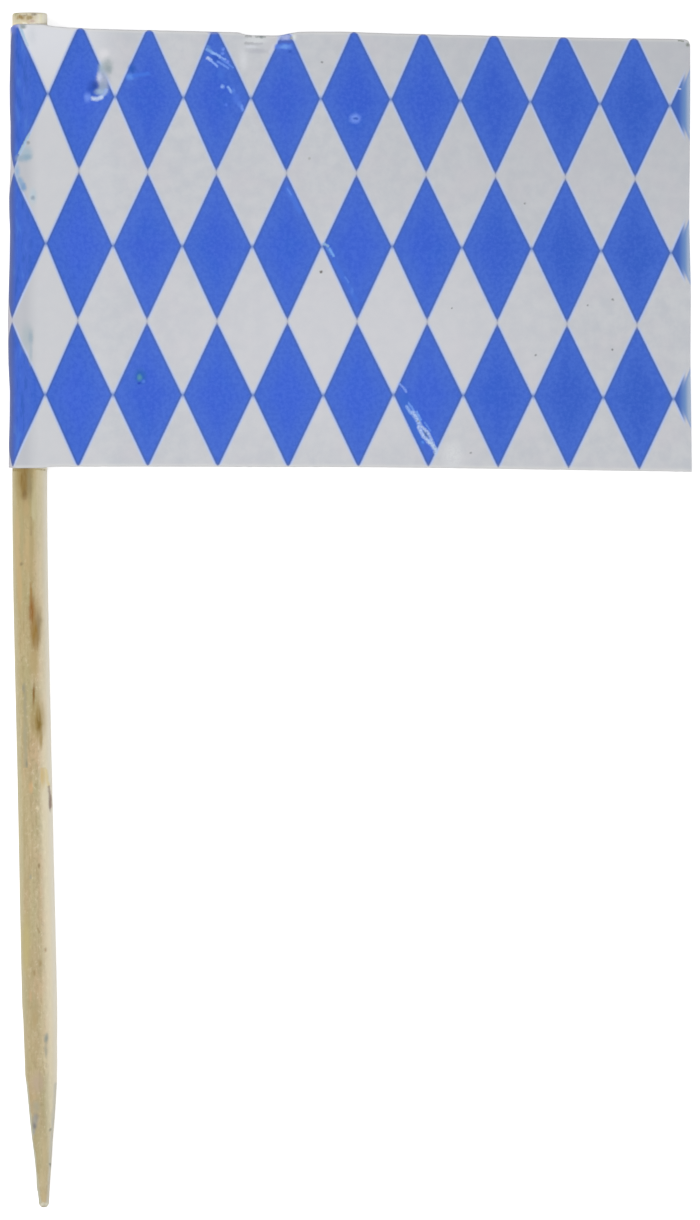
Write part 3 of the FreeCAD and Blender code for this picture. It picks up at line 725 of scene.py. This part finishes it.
# How far its columns slipped sideways on those lines, after the line of the tips that were cut off
COLUMN_SLIPS = [
    [
        (80, 2.1), (150, 1.1), (215, -3.8), (286, -1.0), (354, -3.4), (424, -3.9), (494, -2.8),
        (563, -3.2), (633, -2.7),
    ],
    [(47, 2.4), (114, 1.8), (183, 0.4), (250, -1.9), (320, -1.8), (390, -1.3), (530, -1.3), (600, -1.8)],
    [(79, 0.3), (148, -0.5), (218, -1.6), (288, -1.1), (357, -0.8), (427, -0.8), (497, -1.0), (636, -1.1)],
    [(46, 0.3), (182, -0.9), (322, -0.3), (390, 0.1), (530, 0.1), (600, -0.5)],
    [
        (79, -0.9), (148, -1.2), (218, -0.9), (288, -0.1), (357, -0.2), (427, 0.2), (497, 0.7),
        (566, 0.2), (636, -0.1),
    ],
    [(45, -0.5), (182, -0.4), (322, 0.8), (390, 1.4), (530, 1.5), (600, 1.1)],
]
# How steeply the rows run on the back leaf, which the photograph doesn't show
BACK_ROW_FALL = math.tan(math.radians(0.77))


def print_lattice(round_sheet, x, down):
    """Lattice coordinates of the print: each lozenge's middle is where both are whole numbers."""
    px, py = on_photo(x, down)
    fold_px, _ = on_photo(-WRAP, 0)
    behind = np.clip(round_sheet, None, 0) / PIXEL
    px = np.where(round_sheet > 0, px, fold_px + behind)
    lines = [through(px, line) + behind * BACK_ROW_FALL for line in HALF_ROW_LINES]
    row = (py - lines[0]) / (lines[1] - lines[0]) / 2
    for number, (above, below) in enumerate(zip(lines[1:], lines[2:]), 1):
        row = np.where(py < above, row, (number + (py - above) / (below - above)) / 2)
    slips = [through(px, slip) for slip in COLUMN_SLIPS]
    slip = slips[0]
    for number, (above, below) in enumerate(zip(slips, slips[1:])):
        slip = slip + (below - above) * np.clip(2 * row + 1 - number, 0, 1)
    column = (round_sheet - slip * PIXEL - FIRST_COLUMN) / LOZENGE_WIDTH
    return column, row


def make_sheet(finishes):
    """The printed sheet: one closed skin round both leaves, the fold and the cut edges."""
    # Small steps at the fold and the dent, at the nick, at the lower crease and at the free edge
    front = spaced(
        (8.2, 0.14), (16.0, 0.4), (20.2, 0.13), (26.8, 0.4), (30.2, 0.2), (45.8, 0.4), (SHEET_END, 0.1)
    )
    back = spaced((4.0, 0.16), (8.0, 0.3), (45.8, 0.5), (SHEET_END, 0.14))
    round_sheet = np.concatenate([-back[:0:-1], front])
    rows = spaced((1.0, 0.1), (6.5, 0.17), (23.5, 0.45), (29.3, 0.22), (FLAG_HEIGHT, 0.1)) / FLAG_HEIGHT
    columns, across = len(round_sheet), len(rows)

    x, z, out_x, out_z = outer_face(round_sheet)
    top, bottom = cut_edges(x, (round_sheet > 0).astype(float))
    down = top[:, None] + rows[None, :] * (bottom - top)[:, None]
    _, py = on_photo(0, down)
    stretch = (through(py, FREE_EDGE, 12.0) - on_photo(FLAG_REACH, 0)[0]) * PIXEL
    x_all = x[:, None] + stretch * smooth_step(x, 30.0, FLAG_REACH)[:, None]
    flex = flag_flex(x_all, down)
    bulge = fold_bulge(round_sheet[:, None], down)

    skins = []
    for depth in (0.0, PAPER):
        off = bulge - depth
        skins.append(lay_flag(x_all + out_x[:, None] * off, down, z[:, None] + out_z[:, None] * off + flex))
    points = np.concatenate([skin.reshape(-1, 3) for skin in skins])

    def outer(i, j):
        return i * across + j

    def inner(i, j):
        return columns * across + i * across + j

    faces = []
    for i in range(columns - 1):
        for j in range(across - 1):
            faces.append((outer(i, j), outer(i, j + 1), outer(i + 1, j + 1), outer(i + 1, j)))
    printed = len(faces)
    for i in range(columns - 1):
        for j in range(across - 1):
            faces.append((inner(i + 1, j), inner(i + 1, j + 1), inner(i, j + 1), inner(i, j)))
    skinned = len(faces)
    last = across - 1
    for i in range(columns - 1):
        faces.append((outer(i, 0), outer(i + 1, 0), inner(i + 1, 0), inner(i, 0)))
        faces.append((outer(i + 1, last), outer(i, last), inner(i, last), inner(i + 1, last)))
    for j in range(across - 1):
        end = columns - 1
        faces.append((outer(end, j), outer(end, j + 1), inner(end, j + 1), inner(end, j)))
        faces.append((outer(0, j + 1), outer(0, j), inner(0, j), inner(0, j + 1)))

    finish_of = np.ones(len(faces), np.int32)
    middle_x = (x_all[1:, 1:] + x_all[:-1, :-1]) / 2
    middle_down = (down[1:, 1:] + down[:-1, :-1]) / 2
    groups = [marks for marks, _ in PAPER_WEAR_AND_LIGHT.values()]
    place = marked_places(*on_photo(middle_x, middle_down), groups)
    place[round_sheet[1:] <= 0] = 0
    finish_of[:printed] = np.where(place > 0, place + 1, 0).ravel()
    piece = make_piece("flag", points, faces, finishes, finish_of, slice(skinned, None))

    column, row = print_lattice(round_sheet[:, None], x[:, None], down)
    around = np.broadcast_to(round_sheet[:, None], column.shape)
    lattice = np.stack([column, row, around], axis=-1).reshape(-1, 3)
    keep_with_points(piece, "print", "FLOAT_VECTOR", np.concatenate([lattice, lattice]))
    from_edges = np.minimum(down - top[:, None], bottom[:, None] - down).ravel()
    keep_with_points(piece, "from_edges", "FLOAT", np.concatenate([from_edges, from_edges]))
    return piece


# How far the glue stops short of the sheet's cut edges
GLUE_RECESS = 0.07


def make_glue(finish):
    """The coat of glue between the sheet and the stick, and between the two leaves."""
    back_off = math.sqrt(BEAD_RADIUS * (2 * PINCH_Z + BEAD_RADIUS))
    bead_x = PINCH_X - back_off
    rise = math.atan2(PINCH_Z, back_off)

    coat = spaced((WRAP_END, 0.17), (SLOPE_END, 0.3), (PINCH_END - 0.9, 0.2))
    tail = spaced((10.0, 0.5), (FLAG_REACH - PINCH_X - GLUE_RECESS, 0.9))[1:] + PINCH_END
    x, z, out_x, out_z = outer_face(np.concatenate([coat, [PINCH_END - 0.1], tail]))
    outer_x, outer_z = x - out_x * PAPER, z - out_z * PAPER
    inner_x = x[:len(coat)] - out_x[:len(coat)] * LEAF
    inner_z = z[:len(coat)] - out_z[:len(coat)] * LEAF
    keep = inner_z > BEAD_RADIUS * math.sin(rise) * 1.02
    keep[0] = True
    inner_x, inner_z = inner_x[keep], inner_z[keep]
    turns = np.linspace(rise, 0, 5)
    inner_x = np.concatenate([inner_x, bead_x + BEAD_RADIUS * np.cos(turns)])
    inner_z = np.concatenate([inner_z, BEAD_RADIUS * np.sin(turns)])
    inner_z[0] = 0.0
    outer_z[0] = 0.0

    outer_loop = list(zip(outer_x, outer_z))
    outer_loop += [(along, -above) for along, above in outer_loop[:0:-1]]
    inner_loop = list(zip(inner_x, inner_z))
    inner_loop += [(along, -above) for along, above in inner_loop[-2:0:-1]]
    loops = np.array(outer_loop + inner_loop)
    count_outer, count_inner = len(outer_loop), len(inner_loop)

    rows = spaced((FLAG_HEIGHT, 0.9)) / FLAG_HEIGHT
    top, bottom = cut_edges(loops[:, 0], np.zeros(len(loops)))
    down = (top + GLUE_RECESS)[None, :] + rows[:, None] * (bottom - top - 2 * GLUE_RECESS)[None, :]
    x_all = np.broadcast_to(loops[:, 0], down.shape)
    z_all = loops[:, 1] + flag_flex(x_all, down)
    away = np.hypot(loops[:, 0], loops[:, 1])
    round_stick = np.arctan2(loops[:, 1], -loops[:, 0]) * WRAP
    is_outer = np.arange(len(loops)) < count_outer
    bulge = fold_bulge(round_stick[None, :], down) * (is_outer & (loops[:, 0] < 1.0))
    x_all = x_all + bulge * (loops[:, 0] / away)
    z_all = z_all + bulge * (loops[:, 1] / away)
    points = lay_flag(x_all, down, z_all).reshape(-1, 3)

    width = len(loops)
    faces = []
    for j in range(len(rows) - 1):
        for i in range(count_outer):
            here, there = j * width + i, j * width + (i + 1) % count_outer
            faces.append((here, here + width, there + width, there))
        for i in range(count_inner):
            here = j * width + count_outer + i
            there = j * width + count_outer + (i + 1) % count_inner
            faces.append((there, there + width, here + width, here))
    ends = bridge_ends(count_outer, count_inner, len(outer_x), len(inner_x))
    last = (len(rows) - 1) * width
    faces += [tuple(reversed(face)) for face in ends]
    faces += [tuple(last + corner for corner in face) for face in ends]
    return make_piece("flag_glue_coat", points, faces, [finish])


def bridge_ends(count_outer, count_inner, outer_front, inner_front):
    """Faces across the end of the glue coat: its ring round the stick, then its tail."""
    faces = []
    pairs = inner_front - 1

    def outer(k):
        return k % count_outer

    def inner(k):
        return count_outer + k % count_inner

    spare = outer_front - 1 - pairs
    first = min(pairs, outer_front - 2)
    for k in range(first):
        faces.append((inner(k), inner(k + 1), outer(k + 1), outer(k)))
        faces.append((outer(-k), outer(-k - 1), inner(-k - 1), inner(-k)))
    faces.append((inner(first), outer(-first), outer(-first - 1), outer(first + 1), outer(first)))
    for k in range(first + 1, first + spare):
        faces.append((outer(k), outer(-k), outer(-k - 1), outer(k + 1)))
    return faces


# The stick

LOWER_START = STRAIGHT_LENGTH + BEND_RADIUS * BEND
BEND_END = (BEND_RADIUS * (1 - math.cos(BEND)), STRAIGHT_LENGTH + BEND_RADIUS * math.sin(BEND))
STICK_RUN = LOWER_START + (STICK_LENGTH - BEND_END[1]) / math.cos(BEND)

# The lower stick's left and right outlines, by the photograph's rows
LEFT_SIDE = [
    (1000, 22.2), (1022, 23.2), (1040, 23.8), (1058, 24.5), (1076, 25.0), (1085, 26.1), (1103, 27.9),
    (1121, 29.6), (1139, 31.7), (1157, 34.1), (1175, 36.0), (1187, 36.5), (1193, 37.7), (1202, 38.8),
]
RIGHT_SIDE = [
    (1000, 56.9), (1022, 57.4), (1040, 57.2), (1067, 57.4), (1085, 56.8), (1103, 55.7), (1121, 54.5),
    (1139, 52.9), (1157, 51.9), (1175, 50.5), (1193, 49.3), (1202, 48.8),
]
TIP_RADIUS = 0.26
TIP_ROUNDING = 0.15
END_ROUNDING = 0.16

# The stretch of the side that the flag hides, where the rows of points lie further apart
HIDDEN_START = 1.6
HIDDEN_END = 30.6

# How far from the blunt end the stained and the handled stretches of the wood begin
STAINS_START = 15.0
HANDLED_START = 50.4

# How far the side's fibres, fine fibres, swellings and knife cuts stand out, and how far all of it is
# sunk; then the same for the torn fibres of the sawn end
FIBRE = 0.014
FINE_FIBRE = 0.007
SWELLING = 0.012
KNIFE_CUT = 0.016
SIDE_SUNK = 0.008
TORN_FIBRE = 0.05
END_SUNK = 0.03


def centre_line(run):
    """The stick's centre and its lean, at a distance from the blunt end."""
    turned = np.clip((run - STRAIGHT_LENGTH) / BEND_RADIUS, 0, BEND)
    upper = np.clip(run, 0, STRAIGHT_LENGTH)
    lower = np.clip(run - LOWER_START, 0, None)
    x = BEND_RADIUS * (1 - np.cos(turned)) + lower * math.sin(BEND)
    down = upper + BEND_RADIUS * np.sin(turned) + lower * math.cos(BEND)
    return x, down, turned


def make_stick(finishes):
    """The dowel, with its sawn end, its fibres and its sharpened point."""
    around = 72
    side = np.concatenate([
        np.arange(END_ROUNDING, HIDDEN_START, 0.07),
        np.arange(HIDDEN_START, HIDDEN_END, 0.5),
        np.arange(HIDDEN_END, STICK_RUN - TIP_ROUNDING, 0.19),
    ])
    rounded = np.linspace(0, math.pi / 2, 5)[:-1]
    end_rows = [(0.0, share * (SHAFT - END_ROUNDING)) for share in (0.12, 0.25, 0.4, 0.55, 0.7, 0.85)]
    end_rows += [
        (END_ROUNDING * (1 - math.cos(turn)), SHAFT - END_ROUNDING * (1 - math.sin(turn)))
        for turn in rounded
    ]
    across, down, _ = centre_line(side)
    py = END_PX[1] + down / PIXEL
    middle = END_PX[0] + across / PIXEL
    traced = smooth_step(py, 1000, 1020)
    left = SHAFT + ((middle - through(py, LEFT_SIDE, 1.5)) * PIXEL - SHAFT) * traced
    right = SHAFT + ((through(py, RIGHT_SIDE, 5.0) - middle) * PIXEL - SHAFT) * traced
    tip_rows = [
        (
            STICK_RUN - TIP_ROUNDING * (1 - math.sin(turn)),
            TIP_RADIUS - TIP_ROUNDING + TIP_ROUNDING * math.cos(turn),
        )
        for turn in np.linspace(0.25, math.pi / 2, 5)
    ]
    tip_rows += [(STICK_RUN, share * (TIP_RADIUS - TIP_ROUNDING)) for share in (0.6, 0.2)]
    rows = end_rows + list(zip(side, (left + right) / 2)) + tip_rows
    uneven = [0.0] * len(end_rows) + list((right - left) / 2) + [0.0] * len(tip_rows)
    first_side, last_side = len(end_rows), len(end_rows) + len(side)

    points, wood = [], []
    for ring, (along, wide) in enumerate(rows):
        x, down, lean = centre_line(along)
        for step in range(around):
            angle = 2 * math.pi * step / around
            out, torn = 0.0, 0.0
            if ring < first_side - len(rounded):
                torn = torn_end(angle, wide)
            elif ring < last_side:
                out = stick_relief(angle, along)
            reach = wide + out + uneven[ring] * math.cos(angle)
            points.append((
                AXIS[0] + x + reach * math.cos(angle) * math.cos(lean),
                AXIS[1] - down + reach * math.cos(angle) * math.sin(lean) + torn,
                AXIS[2] + reach * math.sin(angle),
            ))
            wood.append((math.cos(angle) * wide / SHAFT, math.sin(angle) * wide / SHAFT, along))
    faces = []
    for ring in range(len(rows) - 1):
        for step in range(around):
            here, there = ring * around + step, ring * around + (step + 1) % around
            faces.append((here, there, there + around, here + around))
    for ring, reverse in ((0, True), (len(rows) - 1, False)):
        x, down, _ = centre_line(rows[ring][0])
        points.append((AXIS[0] + x, AXIS[1] - down, AXIS[2]))
        wood.append((0.0, 0.0, rows[ring][0]))
        middle = len(points) - 1
        for step in range(around):
            here, there = ring * around + step, ring * around + (step + 1) % around
            faces.append((middle, there, here) if reverse else (middle, here, there))
    stretch_of = [int(row[0] > STAINS_START) + int(row[0] > HANDLED_START) for row in rows[:-1]]
    finish_of = np.concatenate([np.repeat(stretch_of, around), np.repeat([0, 2], around)])
    piece = make_piece("pick_stick", points, faces, finishes, finish_of)
    keep_with_points(piece, "wood", "FLOAT_VECTOR", wood)
    return piece


def stick_relief(angle, along):
    """How far the wood of the side stands out: fibres, swellings and the cuts of the point."""
    round_x, round_z = math.cos(angle), math.sin(angle)
    if FLAG_DROP - 0.1 < along < FLAG_DROP + FLAG_HEIGHT + 0.4:
        return 0.0
    cuts = float(smooth_step(along, 70.8, 71.6)) * KNIFE_CUT * math.cos(3 * angle + 0.09 * along)
    fibre = noise.noise(Vector((round_x * 5.5, round_z * 5.5, along * 0.13)))
    fine = noise.noise(Vector((round_x * 14, round_z * 14, along * 0.35 + 7)))
    swell = noise.noise(Vector((round_x * 0.8, round_z * 0.8, along * 0.09 + 20)))
    return FIBRE * fibre + FINE_FIBRE * fine + SWELLING * swell - SIDE_SUNK + cuts


def torn_end(angle, wide):
    """How far the torn fibres of the sawn end stand up."""
    torn = noise.noise(Vector((math.cos(angle) * wide * 2.4, math.sin(angle) * wide * 2.4, 3.0)))
    return TORN_FIBRE * torn - END_SUNK


# Finishes


def printed_paper(name, marks, flaked):
    """White coated paper with royal blue lozenges, with painted light and shade across the flag and beside
    the fold, and the marks of one place: wear, and at some places painted highlights and shade.
    """
    finish = Finish(name)
    place = finish.place()
    seen = seen_place(place)
    across, down = seen.part("X"), seen.part("Y")
    lattice = finish.node("ShaderNodeAttribute", {"attribute_name": "print"}, {}, "Vector")
    front = lattice.part("Z").rise(-0.02, 0.02)

    from_edges = finish.node("ShaderNodeAttribute", {"attribute_name": "from_edges"}, {}, 2)
    ragged = (finish.noise(place, 9.0, 3.0) - 0.5) * 0.035
    sideways, upright = lattice.part("X").from_whole(), lattice.part("Y").from_whole()
    rubbed_off = from_edges.fall(0.0, 0.15) * 0.11
    side_tips = (sideways - upright).rise(0.455, 0.495)
    end_tips = (upright - sideways).rise(0.430, 0.490)
    depth = (1 - (sideways + upright) * 2 - LOZENGE_GAP) * MIDDLE_TO_SIDE + ragged - rubbed_off
    depth = depth - end_tips * 0.02
    lost_corner = across.rise(681.0, 687.0) * depth.fall(0.1, 0.35) * front
    ink = depth.rise(-0.075, 0.065) * (1 - lost_corner)
    rim = depth.fall(0.05, 0.22)
    margin = depth.fall(0.35, 1.5)
    halo = depth.rise(-0.21, -0.03) * (1 - lost_corner)

    fibres = finish.noise(place, 1.1, 5.0, 0.6)
    mottle = finish.noise(place, 4.2, 3.0, 0.6)
    clouds = finish.noise(place, 0.45, 2.0, 0.5)
    fold = lattice.part("Z").size().fall(0.35, 1.35)
    # Painted shade: the front of the paper beside the fold is painted darker
    shaded_fold_side = across.fall(24.0, 40.0) * front
    handling = finish.noise(place, 2.4, 3.0, 0.6, stretch=(1.0, 0.3, 1.0))
    # Painted light and shade: the paper is painted lighter at the left, the top left and the middle, and
    # darker at the top right and the right, for light falling off across the flag
    lit_left = across.fall(58.0, 125.0) * front
    top_left = lit_left * down.fall(30.0, 130.0)
    middle = spot(seen, (350.0, 345.0), (160.0, 100.0), 0.8) * front
    top_right = across.rise(250.0, 620.0) * down.fall(60.0, 300.0) * front
    right = across.rise(380.0, 620.0) * front
    last_column = across.rise(662.0, 676.0) * front
    white = coats(
        as_seen(196, 199, 205),
        ((204, 206, 210), fibres.rise(0.3, 0.7)),
        ((206, 201, 208), clouds.rise(0.42, 0.75) * 0.3),
        # Painted light and shade by place: lighter at the left, the middle and the top left, darker at the
        # top right and beside the fold
        ((214, 215, 218), lit_left * 0.7),
        ((214, 214, 219), middle * 0.6),
        ((184, 187, 193), top_right * 0.5),
        ((186, 188, 194), shaded_fold_side * 0.95),
        ((232, 234, 240), top_left * 0.68),
        ((180, 199, 244), halo * (1 - end_tips) * 0.85),
        ((140, 162, 212), halo * side_tips),
        ((186, 190, 204), halo * end_tips),
        ((226, 225, 222), from_edges.fall(0.0, 0.3) * 0.55),
        ((190, 186, 194), fold * 0.8),
    )
    blue = coats(
        as_seen(69, 103, 209),
        ((64, 105, 206), clouds.fall(0.30, 0.52) * 0.6),
        # Painted light and shade by place: lighter at the left and the middle, darker at the right
        ((86, 118, 222), lit_left * 0.6),
        ((76, 112, 222), middle * 0.45),
        ((68, 103, 197), right * 0.7),
        ((79, 114, 207), margin * 0.75),
        ((50, 84, 196), mottle.fall(0.34, 0.54) * 0.2),
        ((92, 128, 222), mottle.rise(0.46, 0.66) * 0.2),
        # Painted shade beside the fold, then mottling of the blue there
        ((68, 103, 199), shaded_fold_side * 0.85),
        ((52, 92, 180), handling.fall(0.34, 0.50) * shaded_fold_side * 0.6),
        ((80, 122, 206), handling.rise(0.52, 0.68) * shaded_fold_side * 0.6),
        ((78, 111, 190), last_column * 0.85),
        ((78, 104, 170), rim * 0.8),
        ((84, 108, 182), side_tips * 0.7),
        ((98, 114, 162), end_tips * 0.9),
        ((92, 100, 140), fold * 0.85),
    )
    rubbed = across.rise(678.0, 686.0) * front * ink
    worn = across.rise(684.5, 690.0) * front * ink
    cut = from_edges.fall(0.02, 0.18) * ink
    colour = coats(
        finish.mix(white, blue, ink),
        ((120, 152, 198), rubbed * 0.85),
        ((176, 190, 208), worn * 0.85),
        ((152, 163, 212), cut * 0.4),
    )

    if marks:
        shaky = seen + (finish.noise(place, 5.0, 3.0, 0.6, colour=True) - (0.5, 0.5, 0.5)) * 2.4
        patchy = front * (finish.noise(place, 8.0, 2.0, 0.5).rise(0.36, 0.58) * flaked + (1 - flaked))
    for points, width, left in marks:
        colour = mark(colour, shaky, patchy, points, width, left)

    bump = fibres * 0.3 + mottle * 0.1
    sheen = {"IOR": 1.45, "Specular IOR Level": 0.28}
    return finish.surface(colour, roughness=0.48, bump=bump, depth=0.01, **sheen)


def bare_paper():
    """The cut edges and the inside of the sheet, where nothing is printed."""
    finish = Finish("bare_paper")
    place = finish.place()
    fibres = finish.noise(place, 6.0, 4.0, 0.65)
    colour = finish.mix((0.78, 0.79, 0.81), (0.90, 0.91, 0.92), fibres)
    return finish.surface(colour, roughness=0.7, bump=fibres, depth=0.02)


def dried_glue():
    """Thin dried glue, cloudy and a little yellow."""
    finish = Finish("dried_glue")
    place = finish.place()
    cloud = finish.noise(place, 2.5, 3.0)
    colour = finish.mix((0.55, 0.53, 0.44), (0.68, 0.67, 0.60), cloud)
    return finish.surface(colour, roughness=cloud * 0.2 + 0.25, bump=cloud, depth=0.02)


def stick_wood(name, marks):
    """Pale birch, greyed in streaks along the grain, with painted light and shade across the stick, and the
    stains and painted light of one stretch.
    """
    finish = Finish(name)
    place = finish.place()
    seen = seen_place(place)
    wood = finish.node("ShaderNodeAttribute", {"attribute_name": "wood"}, {}, "Vector")
    across, above, along = wood.part("X"), wood.part("Y").rise(-0.1, 0.1), wood.part("Z")
    round_wood = wood * (SHAFT, SHAFT, 1.0)
    grain = finish.noise(round_wood, 1.7, 4.0, 0.6, stretch=(1.0, 1.0, 0.07))
    fine = finish.noise(round_wood, 6.0, 4.0, 0.6, stretch=(1.0, 1.0, 0.12))
    crumbs = finish.noise(round_wood, 4.5, 3.0, 0.65, stretch=(1.0, 1.0, 0.7))
    flecks = finish.noise(round_wood, 2.2, 3.0, 0.6, stretch=(1.0, 1.0, 0.3))
    tint = finish.noise(round_wood, 0.9, 2.0, 0.5, stretch=(1.0, 1.0, 0.35))
    lit_side = across.rise(0.06, 0.70) * (along.rise(38.0, 54.0) * 0.25 + 0.5)
    colour = coats(
        as_seen(176, 161, 124),
        ((200, 187, 150), grain.rise(0.34, 0.66)),
        ((160, 140, 100), fine.fall(0.34, 0.50) * 0.6),
        ((210, 198, 168), flecks.rise(0.50, 0.72) * 0.5),
        ((206, 174, 140), tint.rise(0.48, 0.66) * 0.5),
        ((172, 170, 128), tint.fall(0.34, 0.48) * 0.5),
        ((154, 136, 104), crumbs.fall(0.30, 0.48) * 0.55),
        ((222, 210, 182), crumbs.rise(0.54, 0.70) * 0.6),
        ((170, 154, 106), along.fall(32.0, 50.0) * 0.52),
        ((204, 190, 160), along.rise(44.0, 60.0) * 0.25),
        # Painted light and shade across the stick: darker left of the middle, lighter on the lit right
        # side, and painted reflections of the white room along both rims
        ((172, 154, 112), across.fall(-0.55, 0.30) * 0.42),
        ((238, 229, 202), lit_side),
        ((240, 235, 221), across.rise(0.60, 1.00) * 0.8),
        ((206, 200, 168), across.fall(-1.0, -0.62) * 0.6),
        # Painted light: the blunt end down to the flag's top edge is painted paler, lifting the shade where
        # the sheet meets the stick
        ((238, 229, 204), along.fall(0.75, 1.1) * 0.75),
    )
    shaky = seen + (finish.noise(place, 2.0, 3.0, 0.6, colour=True) - (0.5, 0.5, 0.5)) * (2.6, 6.0, 0.0)
    streaky = above * (fine.rise(0.34, 0.60) * 0.4 + 0.6)
    for points, width, left in marks:
        colour = mark(colour, shaky, streaky, points, width, left)
    bump = grain * 0.4 + fine * 0.4 + crumbs * 0.2
    return finish.surface(colour, roughness=0.62, bump=bump, depth=0.03, IOR=1.45)


# Pieces

paper_finishes = [printed_paper("printed_paper", [], 0.0), bare_paper()]
paper_finishes += [printed_paper(f"{wear}_paper", *marks) for wear, marks in PAPER_WEAR_AND_LIGHT.items()]
flag = make_sheet(paper_finishes)
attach(flag, "root")
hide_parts("flag_paper", "flag_print")

glue_coat = make_glue(dried_glue())
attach(glue_coat, "root")
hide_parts("flag_glue")

pick_stick = make_stick([stick_wood(f"{wear}_wood", marks) for wear, marks in WOOD_WEAR_AND_LIGHT.items()])
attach(pick_stick, "root")
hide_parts("stick")

2 * SHEET_END * METRES


# Table, light and camera


def seen_directly(finish):
    """One for what the camera sees, straight or in a gloss, and nought for light that falls on things."""
    kinds = ["Is Camera Ray", "Is Glossy Ray", "Is Transmission Ray"]
    rays = [finish.node("ShaderNodeLightPath", {}, {}, kind) for kind in kinds]
    return (rays[0] + rays[1] + rays[2]).at_most(1.0)


def make_floor():
    """A white table that keeps a faint shadow."""
    finish = Finish("white_table")
    paint = (0.58, 0.58, 0.58)
    seen_glow = (0.76, 0.76, 0.76)
    glow = finish.mix((0.0, 0.0, 0.0), seen_glow, seen_directly(finish))
    sockets = {"Emission Color": glow, "Emission Strength": 1.0, "Specular IOR Level": 0.0}
    white_table = finish.surface(paint, roughness=0.9, **sockets)
    half = 3000.0
    height = -0.02
    corners = [(-half, -half, height), (half, -half, height), (half, half, height), (-half, half, height)]
    return make_piece("table", corners, [(0, 1, 2, 3)], [white_table])


def make_lamp(name, place, size, level, aim):
    """A soft lamp, as strong as it takes to light a face turned to it at the aim to that level."""
    lamp = bpy.data.lights.new(name, "AREA")
    lamp.shape = "RECTANGLE"
    lamp.size, lamp.size_y = (length * METRES for length in size)
    away = Vector(aim) * METRES - Vector(place) * METRES
    lamp.energy = level * math.pi**2 * away.length_squared
    holder = bpy.data.objects.new(name, lamp)
    holder.location = Vector(place) * METRES
    holder.rotation_mode = "QUATERNION"
    holder.rotation_quaternion = away.to_track_quat("-Z", "Y")
    holder.visible_camera = False
    bpy.context.scene.collection.objects.link(holder)


def make_world(level):
    """Even light from all round, and white behind everything."""
    world = bpy.data.worlds.new("soft_room")
    bpy.context.scene.world = world
    finish = Finish("soft_room", world)
    colour = finish.mix((level, level, level), (1.0, 1.0, 1.0), seen_directly(finish))
    shader = finish.node("ShaderNodeBackground", {}, {"Color": colour, "Strength": 1.0})
    finish.node("ShaderNodeOutputWorld", {}, {"Surface": shader})


def make_camera():
    """Straight down from far away, with the photograph's long side across the sensor."""
    camera = bpy.data.cameras.new("overhead")
    height = 900.0
    camera.lens = camera.sensor_width * height / (PHOTO[1] * PIXEL)
    camera.clip_start = 0.01
    camera.clip_end = 20.0
    holder = bpy.data.objects.new("overhead", camera)
    middle_x = AXIS[0] + (PHOTO[0] / 2 - END_PX[0]) * PIXEL
    middle_y = AXIS[1] - (PHOTO[1] / 2 - END_PX[1]) * PIXEL
    holder.location = Vector((middle_x, middle_y, height + AXIS[2])) * METRES
    bpy.context.scene.collection.objects.link(holder)
    bpy.context.scene.camera = holder


make_floor()
make_world(level=0.28)
make_lamp("key", place=(-85, 20, 185), size=(160, 220), level=0.66, aim=(-15, 5, 0))
make_lamp("left_strip", place=(-180, -10, 40), size=(40, 160), level=0.25, aim=(-20, 0, 0))
make_lamp("right_strip", place=(160, -10, 18), size=(24, 160), level=0.50, aim=(-20, 0, 0))
make_camera()

bpy.context.scene.view_settings.view_transform = "Standard"
